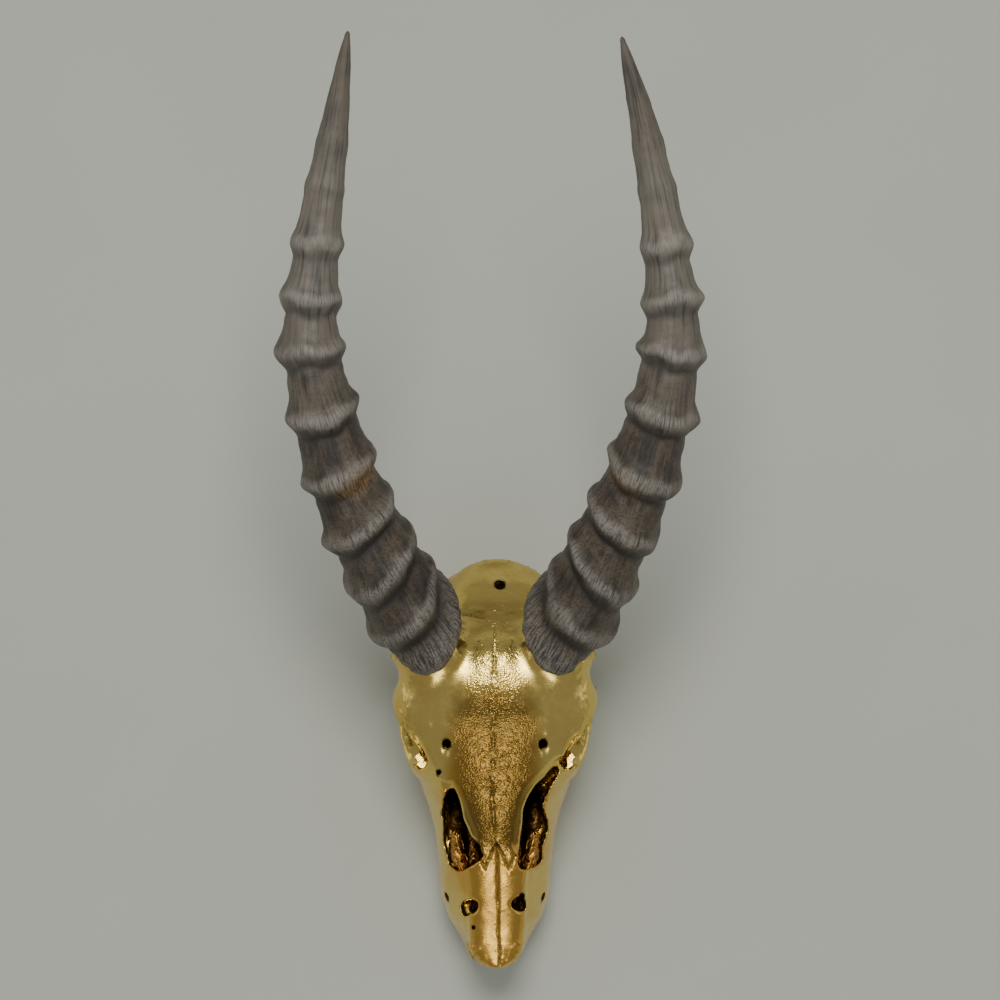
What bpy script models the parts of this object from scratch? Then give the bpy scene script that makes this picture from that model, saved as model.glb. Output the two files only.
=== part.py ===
"""Tsessebe skull with horns and upper cheek teeth, as one resting object.

The forms are written in millimetres in a working frame whose X runs to the
right of the skull, Y towards the back of the head and Z upwards. Zero is the
middle plane, the widest line of the eye sockets and the surface it lies on.
"""
import math

import bmesh
import bpy
from mathutils import Matrix, Vector

MM = 0.001
WELD = 0.00001
SOFT_ANGLE = math.radians(40.0)
BALL_SEGMENTS = 24
BALL_RINGS = 16

# Where the middle of the bounding box lies in the working frame.
FRAME_X = -2.0
FRAME_Y = 97.5

# Bone.
BONE_VOXEL = 1.9
BONE_KEEP = 0.042
WALL_GAP = 0.3

# Horns: stations and sizes along the middle line.
HORN_LENGTH = 380.0
HORN_BASE_RADIUS = 25.3
HORN_TAPER = 0.65
HORN_TIP_RADIUS = 1.2
HORN_SIDES = 14
RING_STATIONS = (0.0, 26.0, 55.0, 88.0, 122.0, 157.0, 194.0, 224.0, 256.0)
RING_HEIGHTS = (3.6, 4.6, 4.8, 5.0, 5.1, 5.6, 5.8, 5.2, 3.6)
RING_EVEN = 0.84
RING_FRONT = 0.1
RING_OUTER = 0.14
RIM_SLANT_FRONT = 0.6
RIM_SLANT_OUTER = 0.26
RIM_SLANT_REACH = 60.0
RING_FOOT = -7.0
RING_FOOT_SHARE = 0.25
RING_BACK = 8.0
RING_BACK_SHARE = 0.5
PLAIN_STATIONS = (242.0, 276.0, 296.0, 320.0, 345.0, 365.0, 380.0)
SEAT_REACH = 90.0
CURVE_SAMPLES = 400
CURVE_REACH = 6
HORN_FRONT = (0.0, -0.16, 0.99)
LEFT_HORN = (
    (-48, 40, 120), (-68, 75, 156), (-92, 124, 193), (-108, 186, 226),
    (-105, 244, 249), (-93, 301, 272), (-83, 355, 300),
)
RIGHT_HORN = (
    (45, 40, 120), (64, 75, 156), (88, 125, 194), (104, 186, 226),
    (100, 244, 249), (87, 301, 272), (72, 352, 299),
)

# Bony cores under the horns.
CORE_RADIUS = 22.0
CORE_END_RADIUS = 18.0
CORE_HEIGHT = 14.0
CORE_ROOT = 24.0
CORE_SIDES = 20

# Drilled hole in the roof of the braincase.
NAIL_HOLE = (3.0, 73.0)
NAIL_HOLE_RADIUS = 3.3
NAIL_HOLE_HEIGHTS = (82.0, 112.0)

# Upper cheek teeth from front to back: name, length, width, centre x, centre y.
TEETH = (
    ("p2", 9.5, 9.0, 25.5, -113.0),
    ("p3", 12.0, 11.5, 27.0, -102.0),
    ("p4", 12.5, 13.5, 28.5, -89.5),
    ("m1", 16.5, 15.0, 29.5, -74.8),
    ("m2", 18.5, 15.5, 30.0, -57.0),
    ("m3", 19.0, 14.5, 30.0, -38.0),
)
TOOTH_GAP = 0.4
GUM_LINE = 12.5
ROOT_DEPTH = 9.0
ROOT_TAPER = 0.8


def clear_scene():
    """Remove every object that is already there."""
    for item in list(bpy.data.objects):
        bpy.data.objects.remove(item, do_unlink=True)


def at(x, y, z):
    """Turn a working point in millimetres into model metres."""
    return Vector((x - FRAME_X, y - FRAME_Y, z)) * MM


def both(points):
    """Give the points of the right side and their mirror on the left."""
    return points, [(-x, y, z) for x, y, z in points]


def collection(name):
    """Make a collection and hang it under the scene."""
    made = bpy.data.collections.new(name)
    bpy.context.scene.collection.children.link(made)
    return made


def as_object(name, mesh, home):
    """Wrap a mesh in an object."""
    made = bpy.data.objects.new(name, mesh)
    home.objects.link(made)
    return made


def outward(work):
    """Turn every face outwards."""
    bmesh.ops.recalc_face_normals(work, faces=work.faces)


class Forms:
    """Closed solids gathered in one mesh, to be fused by a voxel remesh."""

    def __init__(self):
        """Start empty."""
        self.work = bmesh.new()

    def ball(self, centre, radii, turn=(0.0, 0.0, 0.0)):
        """Add an ellipsoid, turned by degrees about X, Y and Z."""
        angles = [math.radians(value) for value in turn]
        spin = Matrix.Rotation(angles[2], 4, "Z") @ Matrix.Rotation(angles[1], 4, "Y")
        spin = spin @ Matrix.Rotation(angles[0], 4, "X")
        size = Matrix.Diagonal((radii[0] * MM, radii[1] * MM, radii[2] * MM, 1.0))
        place = Matrix.Translation(at(*centre)) @ spin @ size
        bmesh.ops.create_uvsphere(
            self.work, u_segments=BALL_SEGMENTS, v_segments=BALL_RINGS, radius=1.0,
            matrix=place,
        )

    def balls(self, centre, radii, turn=(0.0, 0.0, 0.0)):
        """Add an ellipsoid on the right and its mirror on the left."""
        self.ball(centre, radii, turn)
        x, y, z = centre
        self.ball((-x, y, z), radii, (turn[0], -turn[1], -turn[2]))

    def tube(self, points, radii, closed=False):
        """Add a round bar along a smooth curve through the points."""
        curve = bpy.data.curves.new("bar", "CURVE")
        curve.dimensions = "3D"
        curve.bevel_depth = MM
        curve.bevel_resolution = 4
        curve.resolution_u = 8
        curve.use_fill_caps = not closed
        spline = curve.splines.new("BEZIER")
        spline.bezier_points.add(len(points) - 1)
        for knot, place, radius in zip(spline.bezier_points, points, radii):
            knot.co = at(*place)
            knot.radius = radius
            knot.handle_left_type = "AUTO"
            knot.handle_right_type = "AUTO"
        spline.use_cyclic_u = closed
        holder = bpy.data.objects.new("bar", curve)
        bpy.context.scene.collection.objects.link(holder)
        graph = bpy.context.evaluated_depsgraph_get()
        mesh = bpy.data.meshes.new_from_object(holder.evaluated_get(graph))
        bar = bmesh.new()
        bar.from_mesh(mesh)
        bmesh.ops.remove_doubles(bar, verts=bar.verts, dist=WELD)
        bar.to_mesh(mesh)
        bar.free()
        self.work.from_mesh(mesh)
        bpy.data.objects.remove(holder, do_unlink=True)
        bpy.data.curves.remove(curve)
        bpy.data.meshes.remove(mesh)

    def bore(self, start, end, radius, sides):
        """Add a straight round bar between two points."""
        first, last = at(*start), at(*end)
        turn = (last - first).to_track_quat("Z", "Y").to_matrix().to_4x4()
        place = Matrix.Translation((first + last) / 2.0) @ turn
        bmesh.ops.create_cone(
            self.work, cap_ends=True, segments=sides, radius1=radius * MM,
            radius2=radius * MM, depth=(last - first).length, matrix=place,
        )

    def tubes(self, points, radii, closed=False):
        """Add a bar on the right and its mirror on the left."""
        for side in both(points):
            self.tube(side, radii, closed)

    def loft(self, rings):
        """Skin closed rings of equal count, each a list of working points."""
        loops = [[self.work.verts.new(at(*point)) for point in ring] for ring in rings]
        count = len(loops[0])
        for first, second in zip(loops, loops[1:]):
            for k in range(count):
                after = (k + 1) % count
                corners = (first[k], first[after], second[after], second[k])
                self.work.faces.new(corners)
        self.work.faces.new(loops[0])
        self.work.faces.new(loops[-1])

    def object(self, name, home):
        """Close the gathering and hand it back as an object."""
        self.work.normal_update()
        mesh = bpy.data.meshes.new(name)
        self.work.to_mesh(mesh)
        self.work.free()
        mesh.shade_smooth()
        mesh.set_sharp_from_angle(angle=SOFT_ANGLE)
        return as_object(name, mesh, home)


def rounded(points, steps):
    """Resample a closed outline on a smooth curve through its points."""
    count = len(points)
    result = []
    for k in range(count):
        before, here = Vector(points[k - 1]), Vector(points[k])
        after, later = Vector(points[(k + 1) % count]), Vector(points[(k + 2) % count])
        for step in range(steps):
            t = step / steps
            value = here * 2.0 + (after - before) * t
            value += (before * 2.0 - here * 5.0 + after * 4.0 - later) * t * t
            value += (here * 3.0 - before - after * 3.0 + later) * t * t * t
            result.append(value * 0.5)
    return result


def mirrored_ring(y, half, steps=3):
    """Close a half outline of (x, z) points over the middle plane."""
    right = list(half)
    left = [(-x, z) for x, z in reversed(half) if x > 0.0]
    return [(point.x, y, point.y) for point in rounded(right + left, steps)]


def oval_ring(y, half_width, bottom, top, power=2.4, sides=32):
    """Give a rounded box outline at one station."""
    middle = (bottom + top) / 2.0
    half_height = (top - bottom) / 2.0
    ring = []
    for k in range(sides):
        angle = math.tau * k / sides
        c, s = math.cos(angle), math.sin(angle)
        x = half_width * math.copysign(abs(c) ** (2.0 / power), c)
        z = middle + half_height * math.copysign(abs(s) ** (2.0 / power), s)
        ring.append((x, y, z))
    return ring


def prism(forms, outline, bottom, top):
    """Add an upright solid with a plan outline of (x, y) points."""
    forms.loft([[(x, y, z) for x, y in outline] for z in (bottom, top)])


def bone_forms():
    """Gather the solid forms of the skull before it is hollowed."""
    forms = Forms()
    # Braincase, from the back of the head to between the eye sockets.
    forms.loft([
        oval_ring(89, 24, 36, 72),
        oval_ring(83, 32, 29, 83),
        oval_ring(75, 34.5, 28, 91.5),
        oval_ring(56, 34, 30, 104),
        oval_ring(36, 33, 32, 116),
        oval_ring(15, 33, 36, 124),
        oval_ring(-5, 30, 42, 124),
        oval_ring(-22, 26, 50, 117),
    ])
    # Forehead shield with its drooping side edges.
    forms.loft([
        oval_ring(46, 32, 86, 112, 2.0),
        oval_ring(34, 44, 84, 119, 2.0),
        oval_ring(20, 56, 78, 127, 2.0),
        oval_ring(6, 63, 74, 129, 2.0),
        oval_ring(-8, 61, 70, 126, 2.0),
        oval_ring(-18, 57, 70, 122.5, 2.0),
        oval_ring(-27, 46, 70, 118.5, 2.1),
        oval_ring(-40, 40, 68, 113, 2.3),
    ])
    # Face from the eye sockets down to the broken muzzle.
    forms.loft([
        mirrored_ring(-5, (
            (0, 46), (12, 44), (20, 42), (26, 46), (30, 58), (33, 72),
            (34, 86), (30, 98), (24, 112), (14, 121), (0, 124),
        )),
        mirrored_ring(-24, (
            (0, 27), (18, 26), (23, 14), (37, 14), (42, 34), (50, 54),
            (50, 66), (46, 84), (42, 103), (24, 114), (0, 118.5),
        )),
        mirrored_ring(-45, (
            (0, 23), (19, 22), (23, 12.5), (37, 12.5), (40.5, 30), (46.5, 52),
            (47, 64), (43, 82), (36.5, 99), (21, 108.5), (0, 111),
        )),
        mirrored_ring(-61, (
            (0, 22), (18, 21), (22, 12.5), (36.5, 12.5), (39, 30), (41.5, 48),
            (41, 60), (37, 76), (29.5, 91), (18, 100.5), (0, 104),
        )),
        mirrored_ring(-75, (
            (0, 21.5), (17, 20.5), (21, 12.5), (35.5, 12.5), (37, 28), (37.8, 43),
            (36.3, 56), (32, 69), (25, 84), (15, 93.5), (0, 97.5),
        )),
        mirrored_ring(-93, (
            (0, 21), (16, 20), (20, 12.5), (34, 12.5), (35.3, 26), (35.5, 38),
            (33, 51), (27.5, 64), (20.5, 79), (11, 86.5), (0, 89.5),
        )),
        mirrored_ring(-113, (
            (0, 20.5), (14.5, 19.5), (18, 12.5), (32, 12.5), (34, 24), (34, 35),
            (31, 47), (26, 58), (19.5, 70), (11, 77), (0, 80),
        )),
        mirrored_ring(-128, (
            (0, 20), (12, 19.5), (16, 14), (27, 14), (29, 23), (29, 32),
            (27, 42), (23, 52), (18.5, 62), (11, 69.5), (0, 72.5),
        )),
        mirrored_ring(-141, (
            (0, 20), (9, 19.5), (12, 17), (18, 17), (21, 22), (21, 29),
            (20, 37), (18.5, 46), (17.5, 55), (10.5, 63), (0, 66),
        )),
        mirrored_ring(-154, (
            (0, 21), (5, 20.5), (8, 18.5), (13, 18.5), (15, 22), (15, 27),
            (14.5, 32), (13.5, 38), (12, 42), (7, 44), (0, 45),
        )),
    ])
    # Two nose bones with a groove between them.
    forms.loft([
        mirrored_ring(y, (
            (0, z - 5.5), (w * 0.45, z - 6.5), (w * 0.75, z - 9.5),
            (w * 0.93, z - 14), (w, z - 12), (w * 0.92, z - 7),
            (w * 0.62, z - 2.2), (w * 0.24, z), (0, z - 1.4),
        ))
        for y, w, z in (
            (-88, 21, 92.0), (-102, 19.5, 86.3), (-120, 18.5, 78.0), (-136, 18, 70.6),
            (-149, 17, 65.2), (-156, 12, 62.2), (-161, 5, 60.3),
        )
    ])
    # Swellings that carry the horns, and the boss between them.
    forms.tube([(26, 3, 104), (33, 19, 107), (41, 36, 115)], [22, 24, 24.5])
    forms.tube([(-26, 3, 104), (-34, 19, 107), (-43, 36, 115)], [22, 24, 24.5])
    forms.ball((0, 18, 112), (26, 22, 17))
    # Step across the roof behind the horns, and the ridge in front of it.
    forms.tube([(-24, 55, 97), (-8, 57, 103.5), (8, 57, 103.5), (24, 55, 97)], [4, 4, 4, 4])
    forms.tube([(0, 56, 104), (0, 40, 113.5), (0, 26, 121)], [3.5, 3, 4])
    # Eye socket rims.
    forms.tubes([
        (59.5, 4, 97), (56.5, -8, 103), (50.5, -17, 103.5), (41.5, -25, 104.5),
        (40, -34, 100), (43.5, -41, 88), (46, -42, 76), (50, -33, 65),
        (53.5, -18, 61), (57, -3, 64.5), (59.5, 6, 81),
    ], [5, 4.6, 4.2, 4, 4, 4.2, 4.6, 5, 4.8, 5, 4.8], closed=True)
    # Cheek arches back to the ear region.
    forms.tubes([
        (52, -30, 62), (55.5, -6, 60), (55, 12, 58), (50, 28, 57),
        (43, 42, 54), (33, 54, 50),
    ], [5, 6, 5, 4.6, 6.5, 8])
    forms.balls((41, 35, 49), (12, 9, 5))
    # Crest round the back of the head, and the swelling behind the ear.
    forms.tube([
        (-35, 74, 46), (-33, 75, 64), (-26.5, 79.5, 78), (-13.5, 83.5, 84),
        (0, 85, 85.5), (13.5, 83.5, 84), (26.5, 79.5, 78), (33, 75, 64),
        (35, 74, 46),
    ], [5, 4, 3.6, 3.4, 3.6, 3.4, 3.6, 4, 5])
    forms.balls((34, 74, 48), (7, 9, 17))
    forms.balls((37, 56, 50), (8, 6, 6))
    # Joints beside the great hole, and the long processes that reach the ground.
    forms.balls((13.5, 88, 41), (8.5, 8.5, 10.5), (20, 0, -20))
    forms.tubes([(33, 78, 44), (35, 80, 26), (33, 83, -3)], [8, 5.6, 4.4])
    # Floor of the braincase.
    forms.tube([(0, 86, 36), (0, 60, 35), (0, 30, 42), (0, 0, 50)], [11, 12, 11, 9])
    forms.balls((9, 60, 31), (5, 9, 5))
    forms.balls((23, 56, 32), (8.5, 12, 9.5), (0, 0, 15))
    # Wings either side of the inner nostrils.
    forms.balls((14.5, 4, 40), (3.2, 20, 17), (12, 0, 4))
    forms.balls((24, -16, 34), (10, 14, 18))
    return forms


def hollow_forms():
    """Gather the solids that are taken out of the skull."""
    forms = Forms()
    # Eye sockets and the deep temple hollows behind them.
    forms.balls((54, -17, 83), (31, 20.5, 18.5), (0, 0, -20))
    forms.balls((38, -12, 84), (15, 16, 14))
    forms.balls((52, 23, 78), (15, 24, 15))
    forms.balls((45, 14, 72), (11, 20, 17))
    # Braincase inside, open at the great hole.
    forms.ball((0, 44, 73), (26, 38, 27))
    forms.tube([(0, 110, 55), (0, 84, 56), (0, 66, 62)], [9.5, 9.5, 12])
    # Nose passage, open at the front and behind the palate.
    forms.loft([
        mirrored_ring(y, (
            (0, low), (11, low + 0.5), (14, low + 10), (w * 0.8, low + 22),
            (w, (low + top) / 2 + 8), (w * 0.92, top - 14), (w * 0.55, top - 4),
            (0, top),
        ))
        for y, w, low, top in (
            (-36, 22, 32, 98), (-48, 31, 28, 101), (-62, 31, 27, 95.5),
            (-76, 27, 26, 89.5), (-94, 22, 25.5, 80.5), (-112, 17.5, 25, 71.5),
            (-128, 15.5, 24, 63), (-142, 14.5, 24, 57), (-156, 11.5, 24, 51),
            (-172, 11.5, 24, 50),
        )
    ])
    forms.tube([(0, 44, 26), (0, 18, 32), (0, -20, 37), (0, -46, 40)], [10, 10.5, 11, 12])
    # Gaps left by the lost bones in front of the eyes: right, then left.
    prism(forms, (
        (41, -38), (32, -46), (22.5, -55), (18.5, -63), (16.5, -78), (15, -90),
        (14.5, -101), (22, -100), (28, -95), (30, -86), (32, -77), (32, -71),
        (29, -64), (33, -53), (38, -44),
    ), 52, 112)
    prism(forms, (
        (-25, -54), (-30, -57), (-32, -66), (-32, -74), (-30, -89), (-29, -96),
        (-25, -100), (-19, -102), (-12, -98), (-7.5, -95), (-9, -88),
        (-14, -83), (-18, -75), (-22, -62),
    ), 52, 112)
    # Splits beside the nose bones.
    prism(forms, ((10, -120), (17, -117), (19, -126), (10, -126)), 50, 90)
    prism(forms, ((-20, -121), (-11, -121), (-11, -128), (-20, -128)), 50, 90)
    # Broken edge of the muzzle.
    forms.ball((16, -157, 28), (8, 9, 12))
    forms.ball((-18, -153, 36), (8, 9, 9))
    return forms


def drill_forms():
    """Gather the clean small holes, cut last so that they stay round."""
    forms = Forms()
    # Hanging hole through the roof of the braincase.
    x, y = NAIL_HOLE
    low, high = NAIL_HOLE_HEIGHTS
    forms.bore((x, y, low), (x, y, high), NAIL_HOLE_RADIUS, 14)
    # Nerve holes above the eyes and over the teeth, and the ear holes.
    for side in (-1, 1):
        forms.bore((side * 29, -29, 100), (side * 29, -29, 125), 2.9, 8)
        forms.bore((side * 44, -124, 47), (side * 22, -112, 45), 3.0, 8)
        forms.bore((side * 52, 58, 51), (side * 34, 56, 49), 3.2, 8)
    return forms


def scroll_forms():
    """Gather the thin scrolls and the middle wall inside the nose."""
    forms = Forms()
    forms.balls((14, -62, 66), (8, 32, 12), (-20, 0, 8))
    forms.balls((24, -58, 60), (6, 26, 10), (-18, 0, 14))
    forms.balls((12, -92, 52), (5, 34, 10), (-14, 0, 4))
    forms.ball((0, -66, 54), (2.4, 60, 30), (-16, 0, 0))
    return forms


def curve_point(points, t):
    """Evaluate a smooth curve through the points at t from 0 to 1."""
    spans = len(points) - 1
    place = min(max(t, 0.0), 1.0) * spans
    k = min(int(place), spans - 1)
    u = place - k
    here, after = Vector(points[k]), Vector(points[k + 1])
    before = Vector(points[k - 1]) if k else here * 2.0 - after
    later = Vector(points[k + 2]) if k + 2 <= spans else after * 2.0 - here
    value = here * 2.0 + (after - before) * u
    value += (before * 2.0 - here * 5.0 + after * 4.0 - later) * u * u
    value += (here * 3.0 - before - after * 3.0 + later) * u * u * u
    return value * 0.5


def horn_frames(points, stations):
    """Give centre, direction, side and front vectors at each station."""
    samples = [curve_point(points, k / CURVE_SAMPLES) for k in range(CURVE_SAMPLES + 1)]
    lengths = [0.0]
    for first, second in zip(samples, samples[1:]):
        lengths.append(lengths[-1] + (second - first).length)
    frames = []
    for station in stations:
        goal = min(max(station / HORN_LENGTH, 0.0), 1.0) * lengths[-1]
        k = max(i for i in range(CURVE_SAMPLES) if lengths[i] <= goal + 1e-9)
        share = (goal - lengths[k]) / (lengths[k + 1] - lengths[k])
        centre = samples[k].lerp(samples[k + 1], share)
        low, high = max(k - CURVE_REACH, 0), min(k + 1 + CURVE_REACH, CURVE_SAMPLES)
        along = (samples[high] - samples[low]).normalized()
        front = Vector(HORN_FRONT)
        front = (front - along * front.dot(along)).normalized()
        frames.append((centre, along, along.cross(front), front))
    return frames


def shaft_radius(station):
    """Give the radius between the rings."""
    left = max(1.0 - station / HORN_LENGTH, 0.0)
    return max(HORN_BASE_RADIUS * left ** HORN_TAPER, HORN_TIP_RADIUS)


def horn_stations():
    """List (station, added height) along the horn, three at each ring."""
    result = []
    for place, height in zip(RING_STATIONS, RING_HEIGHTS):
        if place > 0.0:
            result.append((place + RING_FOOT, RING_FOOT_SHARE))
        result.append((place, height))
        result.append((place + RING_BACK, height * RING_BACK_SHARE))
    result += [(place, 0.0) for place in PLAIN_STATIONS]
    return sorted(result)


def horn_rings(points, grow=0.0, reach=HORN_LENGTH, sides=HORN_SIDES):
    """Lay the rings of a horn skin, grown outwards by a clearance."""
    plan = [(place, height) for place, height in horn_stations() if place <= reach]
    frames = horn_frames(points, [place for place, height in plan])
    lean = 1.0 if points[0][0] > 0 else -1.0
    rings = []
    for (place, height), (centre, along, side, front) in zip(plan, frames):
        fade = max(1.0 - place / RIM_SLANT_REACH, 0.0)
        ring = []
        for k in range(sides):
            angle = math.tau * k / sides
            c, s = math.cos(angle), math.sin(angle)
            radius = shaft_radius(place) + grow
            radius += height * (RING_EVEN + RING_FRONT * s + RING_OUTER * c * lean)
            point = centre + side * (c * radius) + front * (s * radius)
            slant = RIM_SLANT_FRONT * s + RIM_SLANT_OUTER * c * lean
            shift = -fade * slant * radius - (grow if place == 0.0 else 0.0)
            ring.append(tuple(point + along * shift))
        rings.append(ring)
    return rings


def core_rings(points, grow):
    """Lay the rings of the bony core that the horn slips over."""
    centre, along, side, front = horn_frames(points, [0.0])[0]
    rings = []
    for height, radius in (
        (-CORE_ROOT, CORE_END_RADIUS), (0.0, CORE_RADIUS), (CORE_HEIGHT, CORE_END_RADIUS),
    ):
        ring = []
        for k in range(CORE_SIDES):
            angle = math.tau * k / CORE_SIDES
            reach = radius + grow
            point = centre + side * (math.cos(angle) * reach)
            point += front * (math.sin(angle) * reach)
            extra = grow if height == CORE_HEIGHT else 0.0
            ring.append(tuple(point + along * (height + extra)))
        rings.append(ring)
    return rings


def tooth_ring(length, width, x, y, z, lobes, side):
    """Give one level of a tooth: lobed outside, rounded inside."""
    outline = (
        (-0.5, -0.30), (-0.46, 0.42), (-0.25, 0.5), (0.0, 0.5 - 0.09 * lobes),
        (0.25, 0.5), (0.46, 0.42), (0.5, -0.30), (0.25, -0.5),
        (0.0, -0.5 + 0.07 * lobes), (-0.25, -0.5),
    )
    return [(side * (x + across * width), y + along * length, z) for along, across in outline]


def tooth_rings(row, side, grow):
    """Lay the levels of a tooth, grown outwards by a clearance."""
    name, length, width, x, y = row
    lobes = 1.0 if name.startswith("m") else 0.4
    long = length - TOOTH_GAP
    top = GUM_LINE + ROOT_DEPTH
    levels = (
        (0.0, 0.95, 1.0), (4.0, 1.0, 1.0), (GUM_LINE - 2.0, 0.97, 0.96),
        (GUM_LINE + 1.0, 0.84, 0.86), (top + grow, ROOT_TAPER * 0.84, ROOT_TAPER * 0.86),
    )
    if grow:
        levels = levels[2:]
    rings = []
    for z, stretch, widen in levels:
        rings.append(tooth_ring(
            long * stretch + grow * 2.0, width * widen + grow * 2.0, x, y, z, lobes, side,
        ))
    return rings


def lofted(name, rings, home):
    """Make one closed lofted object with faces turned outwards."""
    forms = Forms()
    forms.loft(rings)
    outward(forms.work)
    return forms.object(name, home)


def hide_cutter(item):
    """Show a cutter as wires only."""
    item.hide_render = True
    item.display_type = "WIRE"


def fuse(item, voxel):
    """Fuse overlapping solids with a voxel remesh."""
    step = item.modifiers.new("fuse", "REMESH")
    step.mode = "VOXEL"
    step.voxel_size = voxel * MM
    step.use_smooth_shade = True


def combine(item, other, operation):
    """Add an exact Boolean with another object."""
    step = item.modifiers.new(other.name, "BOOLEAN")
    step.operation = operation
    step.solver = "EXACT"
    step.object = other


def coat(item, name, colour, roughness, metallic):
    """Give an object its own material."""
    made = bpy.data.materials.new(name)
    made.use_nodes = True
    shader = made.node_tree.nodes["Principled BSDF"]
    shader.inputs["Base Color"].default_value = (*colour, 1.0)
    shader.inputs["Roughness"].default_value = roughness
    shader.inputs["Metallic"].default_value = metallic
    made.diffuse_color = (*colour, 1.0)
    item.data.materials.clear()
    item.data.materials.append(made)


def build():
    """Build the whole object."""
    clear_scene()
    parts = collection("tsessebe_skull")
    cutters = collection("cutters")

    skull = bone_forms().object("skull", parts)
    hollows = hollow_forms().object("hollows", cutters)
    scrolls = scroll_forms().object("scrolls", cutters)
    fuse(hollows, BONE_VOXEL)
    fuse(scrolls, BONE_VOXEL)
    fuse(skull, BONE_VOXEL)
    combine(skull, hollows, "DIFFERENCE")
    combine(skull, scrolls, "UNION")
    fuse(skull, BONE_VOXEL)
    thin = skull.modifiers.new("thin", "DECIMATE")
    thin.ratio = BONE_KEEP
    thin.use_collapse_triangulate = True
    hide_cutter(hollows)
    hide_cutter(scrolls)

    for side, points in (("left", LEFT_HORN), ("right", RIGHT_HORN)):
        horn = lofted("horn_" + side, horn_rings(points), parts)
        coat(horn, "horn_" + side, (0.06, 0.045, 0.035), 0.5, 0.0)
        socket = lofted("horn_socket_" + side, core_rings(points, WALL_GAP), cutters)
        combine(horn, socket, "DIFFERENCE")
        seat = lofted(
            "horn_seat_" + side, horn_rings(points, WALL_GAP, SEAT_REACH), cutters,
        )
        combine(skull, seat, "DIFFERENCE")
        core = lofted("horn_core_" + side, core_rings(points, 0.0), cutters)
        combine(skull, core, "UNION")
        hide_cutter(socket)
        hide_cutter(seat)
        hide_cutter(core)

    for side, sign in (("left", -1.0), ("right", 1.0)):
        for row in TEETH:
            name = "tooth_" + side + "_" + row[0]
            tooth = lofted(name, tooth_rings(row, sign, 0.0), parts)
            coat(tooth, name, (0.55, 0.42, 0.2), 0.4, 0.0)
            socket = lofted(name + "_socket", tooth_rings(row, sign, WALL_GAP), cutters)
            combine(skull, socket, "DIFFERENCE")
            hide_cutter(socket)

    drills = drill_forms().object("drills", cutters)
    combine(skull, drills, "DIFFERENCE")
    hide_cutter(drills)
    ground = Forms()
    prism(ground, ((-90, -190), (90, -190), (90, 130), (-90, 130)), -20, 0)
    ground = ground.object("ground", cutters)
    combine(skull, ground, "DIFFERENCE")
    hide_cutter(ground)

    coat(skull, "skull", (0.46, 0.33, 0.1), 0.35, 0.9)


build()
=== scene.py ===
"""Painted antelope skull: its fine shapes and finishes around the solid part.

Working places are in millimetres: X to the right of the skull, Y towards the
back of the head and Z up from the surface that it rests on. Their zero is the
middle plane at the widest line of the eye sockets, and it is found from the
second molars of the solid part, so the fine shapes follow the solids.
"""
import logging
import math
from collections.abc import Iterable, Iterator, Sequence
from contextlib import contextmanager
from dataclasses import dataclass, field
from enum import Enum

import bmesh
import bpy
import numpy as np
from mathutils import Matrix, Vector, noise


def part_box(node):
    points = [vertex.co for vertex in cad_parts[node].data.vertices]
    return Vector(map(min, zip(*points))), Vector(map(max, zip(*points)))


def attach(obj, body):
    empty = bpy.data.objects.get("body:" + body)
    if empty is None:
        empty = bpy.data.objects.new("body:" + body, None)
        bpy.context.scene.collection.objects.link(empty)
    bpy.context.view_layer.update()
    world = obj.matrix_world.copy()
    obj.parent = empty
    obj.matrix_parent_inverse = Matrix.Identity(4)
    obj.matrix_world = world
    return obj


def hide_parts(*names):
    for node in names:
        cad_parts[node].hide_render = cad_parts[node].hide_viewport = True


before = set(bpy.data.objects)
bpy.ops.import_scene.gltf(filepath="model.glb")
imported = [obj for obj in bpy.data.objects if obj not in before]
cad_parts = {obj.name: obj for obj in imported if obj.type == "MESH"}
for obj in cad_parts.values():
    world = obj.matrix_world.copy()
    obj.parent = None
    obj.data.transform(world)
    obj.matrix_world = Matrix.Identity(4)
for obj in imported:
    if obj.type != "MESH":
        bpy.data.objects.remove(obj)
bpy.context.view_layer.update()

MM = 0.001
MOLAR_ROW_Y = -57.0
NOISE_SEED = 5
LOG = logging.getLogger("painted_skull")

Point = tuple[float, float, float]
Plan = tuple[tuple[float, float], ...]
Colour = tuple[float, float, float]


class Side(Enum):
    """The two sides of the skull, as the sign of X."""

    LEFT = -1.0
    RIGHT = 1.0

    @property
    def word(self) -> str:
        """Give the side's name in small letters."""
        return self.name.lower()


class Cut(Enum):
    """What one solid does to another."""

    AWAY = "DIFFERENCE"
    ADD = "UNION"


def working_zero() -> Vector:
    """Find the working zero in the frame from the two second molars.

    Returns:
        The zero in metres.
    """
    left_low, left_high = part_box("tooth_left_m2")
    right_low, right_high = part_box("tooth_right_m2")
    middle = (left_low + left_high + right_low + right_high) / 4.0
    return Vector((middle.x, middle.y - MOLAR_ROW_Y * MM, 0.0))


ZERO = working_zero()


def at(place: Sequence[float]) -> Vector:
    """Turn a working place into metres in the frame."""
    return Vector(place) * MM + ZERO


def smooth_step(low: float, high: float, value: np.ndarray) -> np.ndarray:
    """Ease from 0 at low to 1 at high."""
    share = np.clip((value - low) / (high - low), 0.0, 1.0)
    return share * share * (3.0 - 2.0 * share)


def bell(value: np.ndarray, width: float) -> np.ndarray:
    """Give a soft bump of height one that falls off over the width."""
    return np.exp(-(value / width) ** 2)


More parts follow.
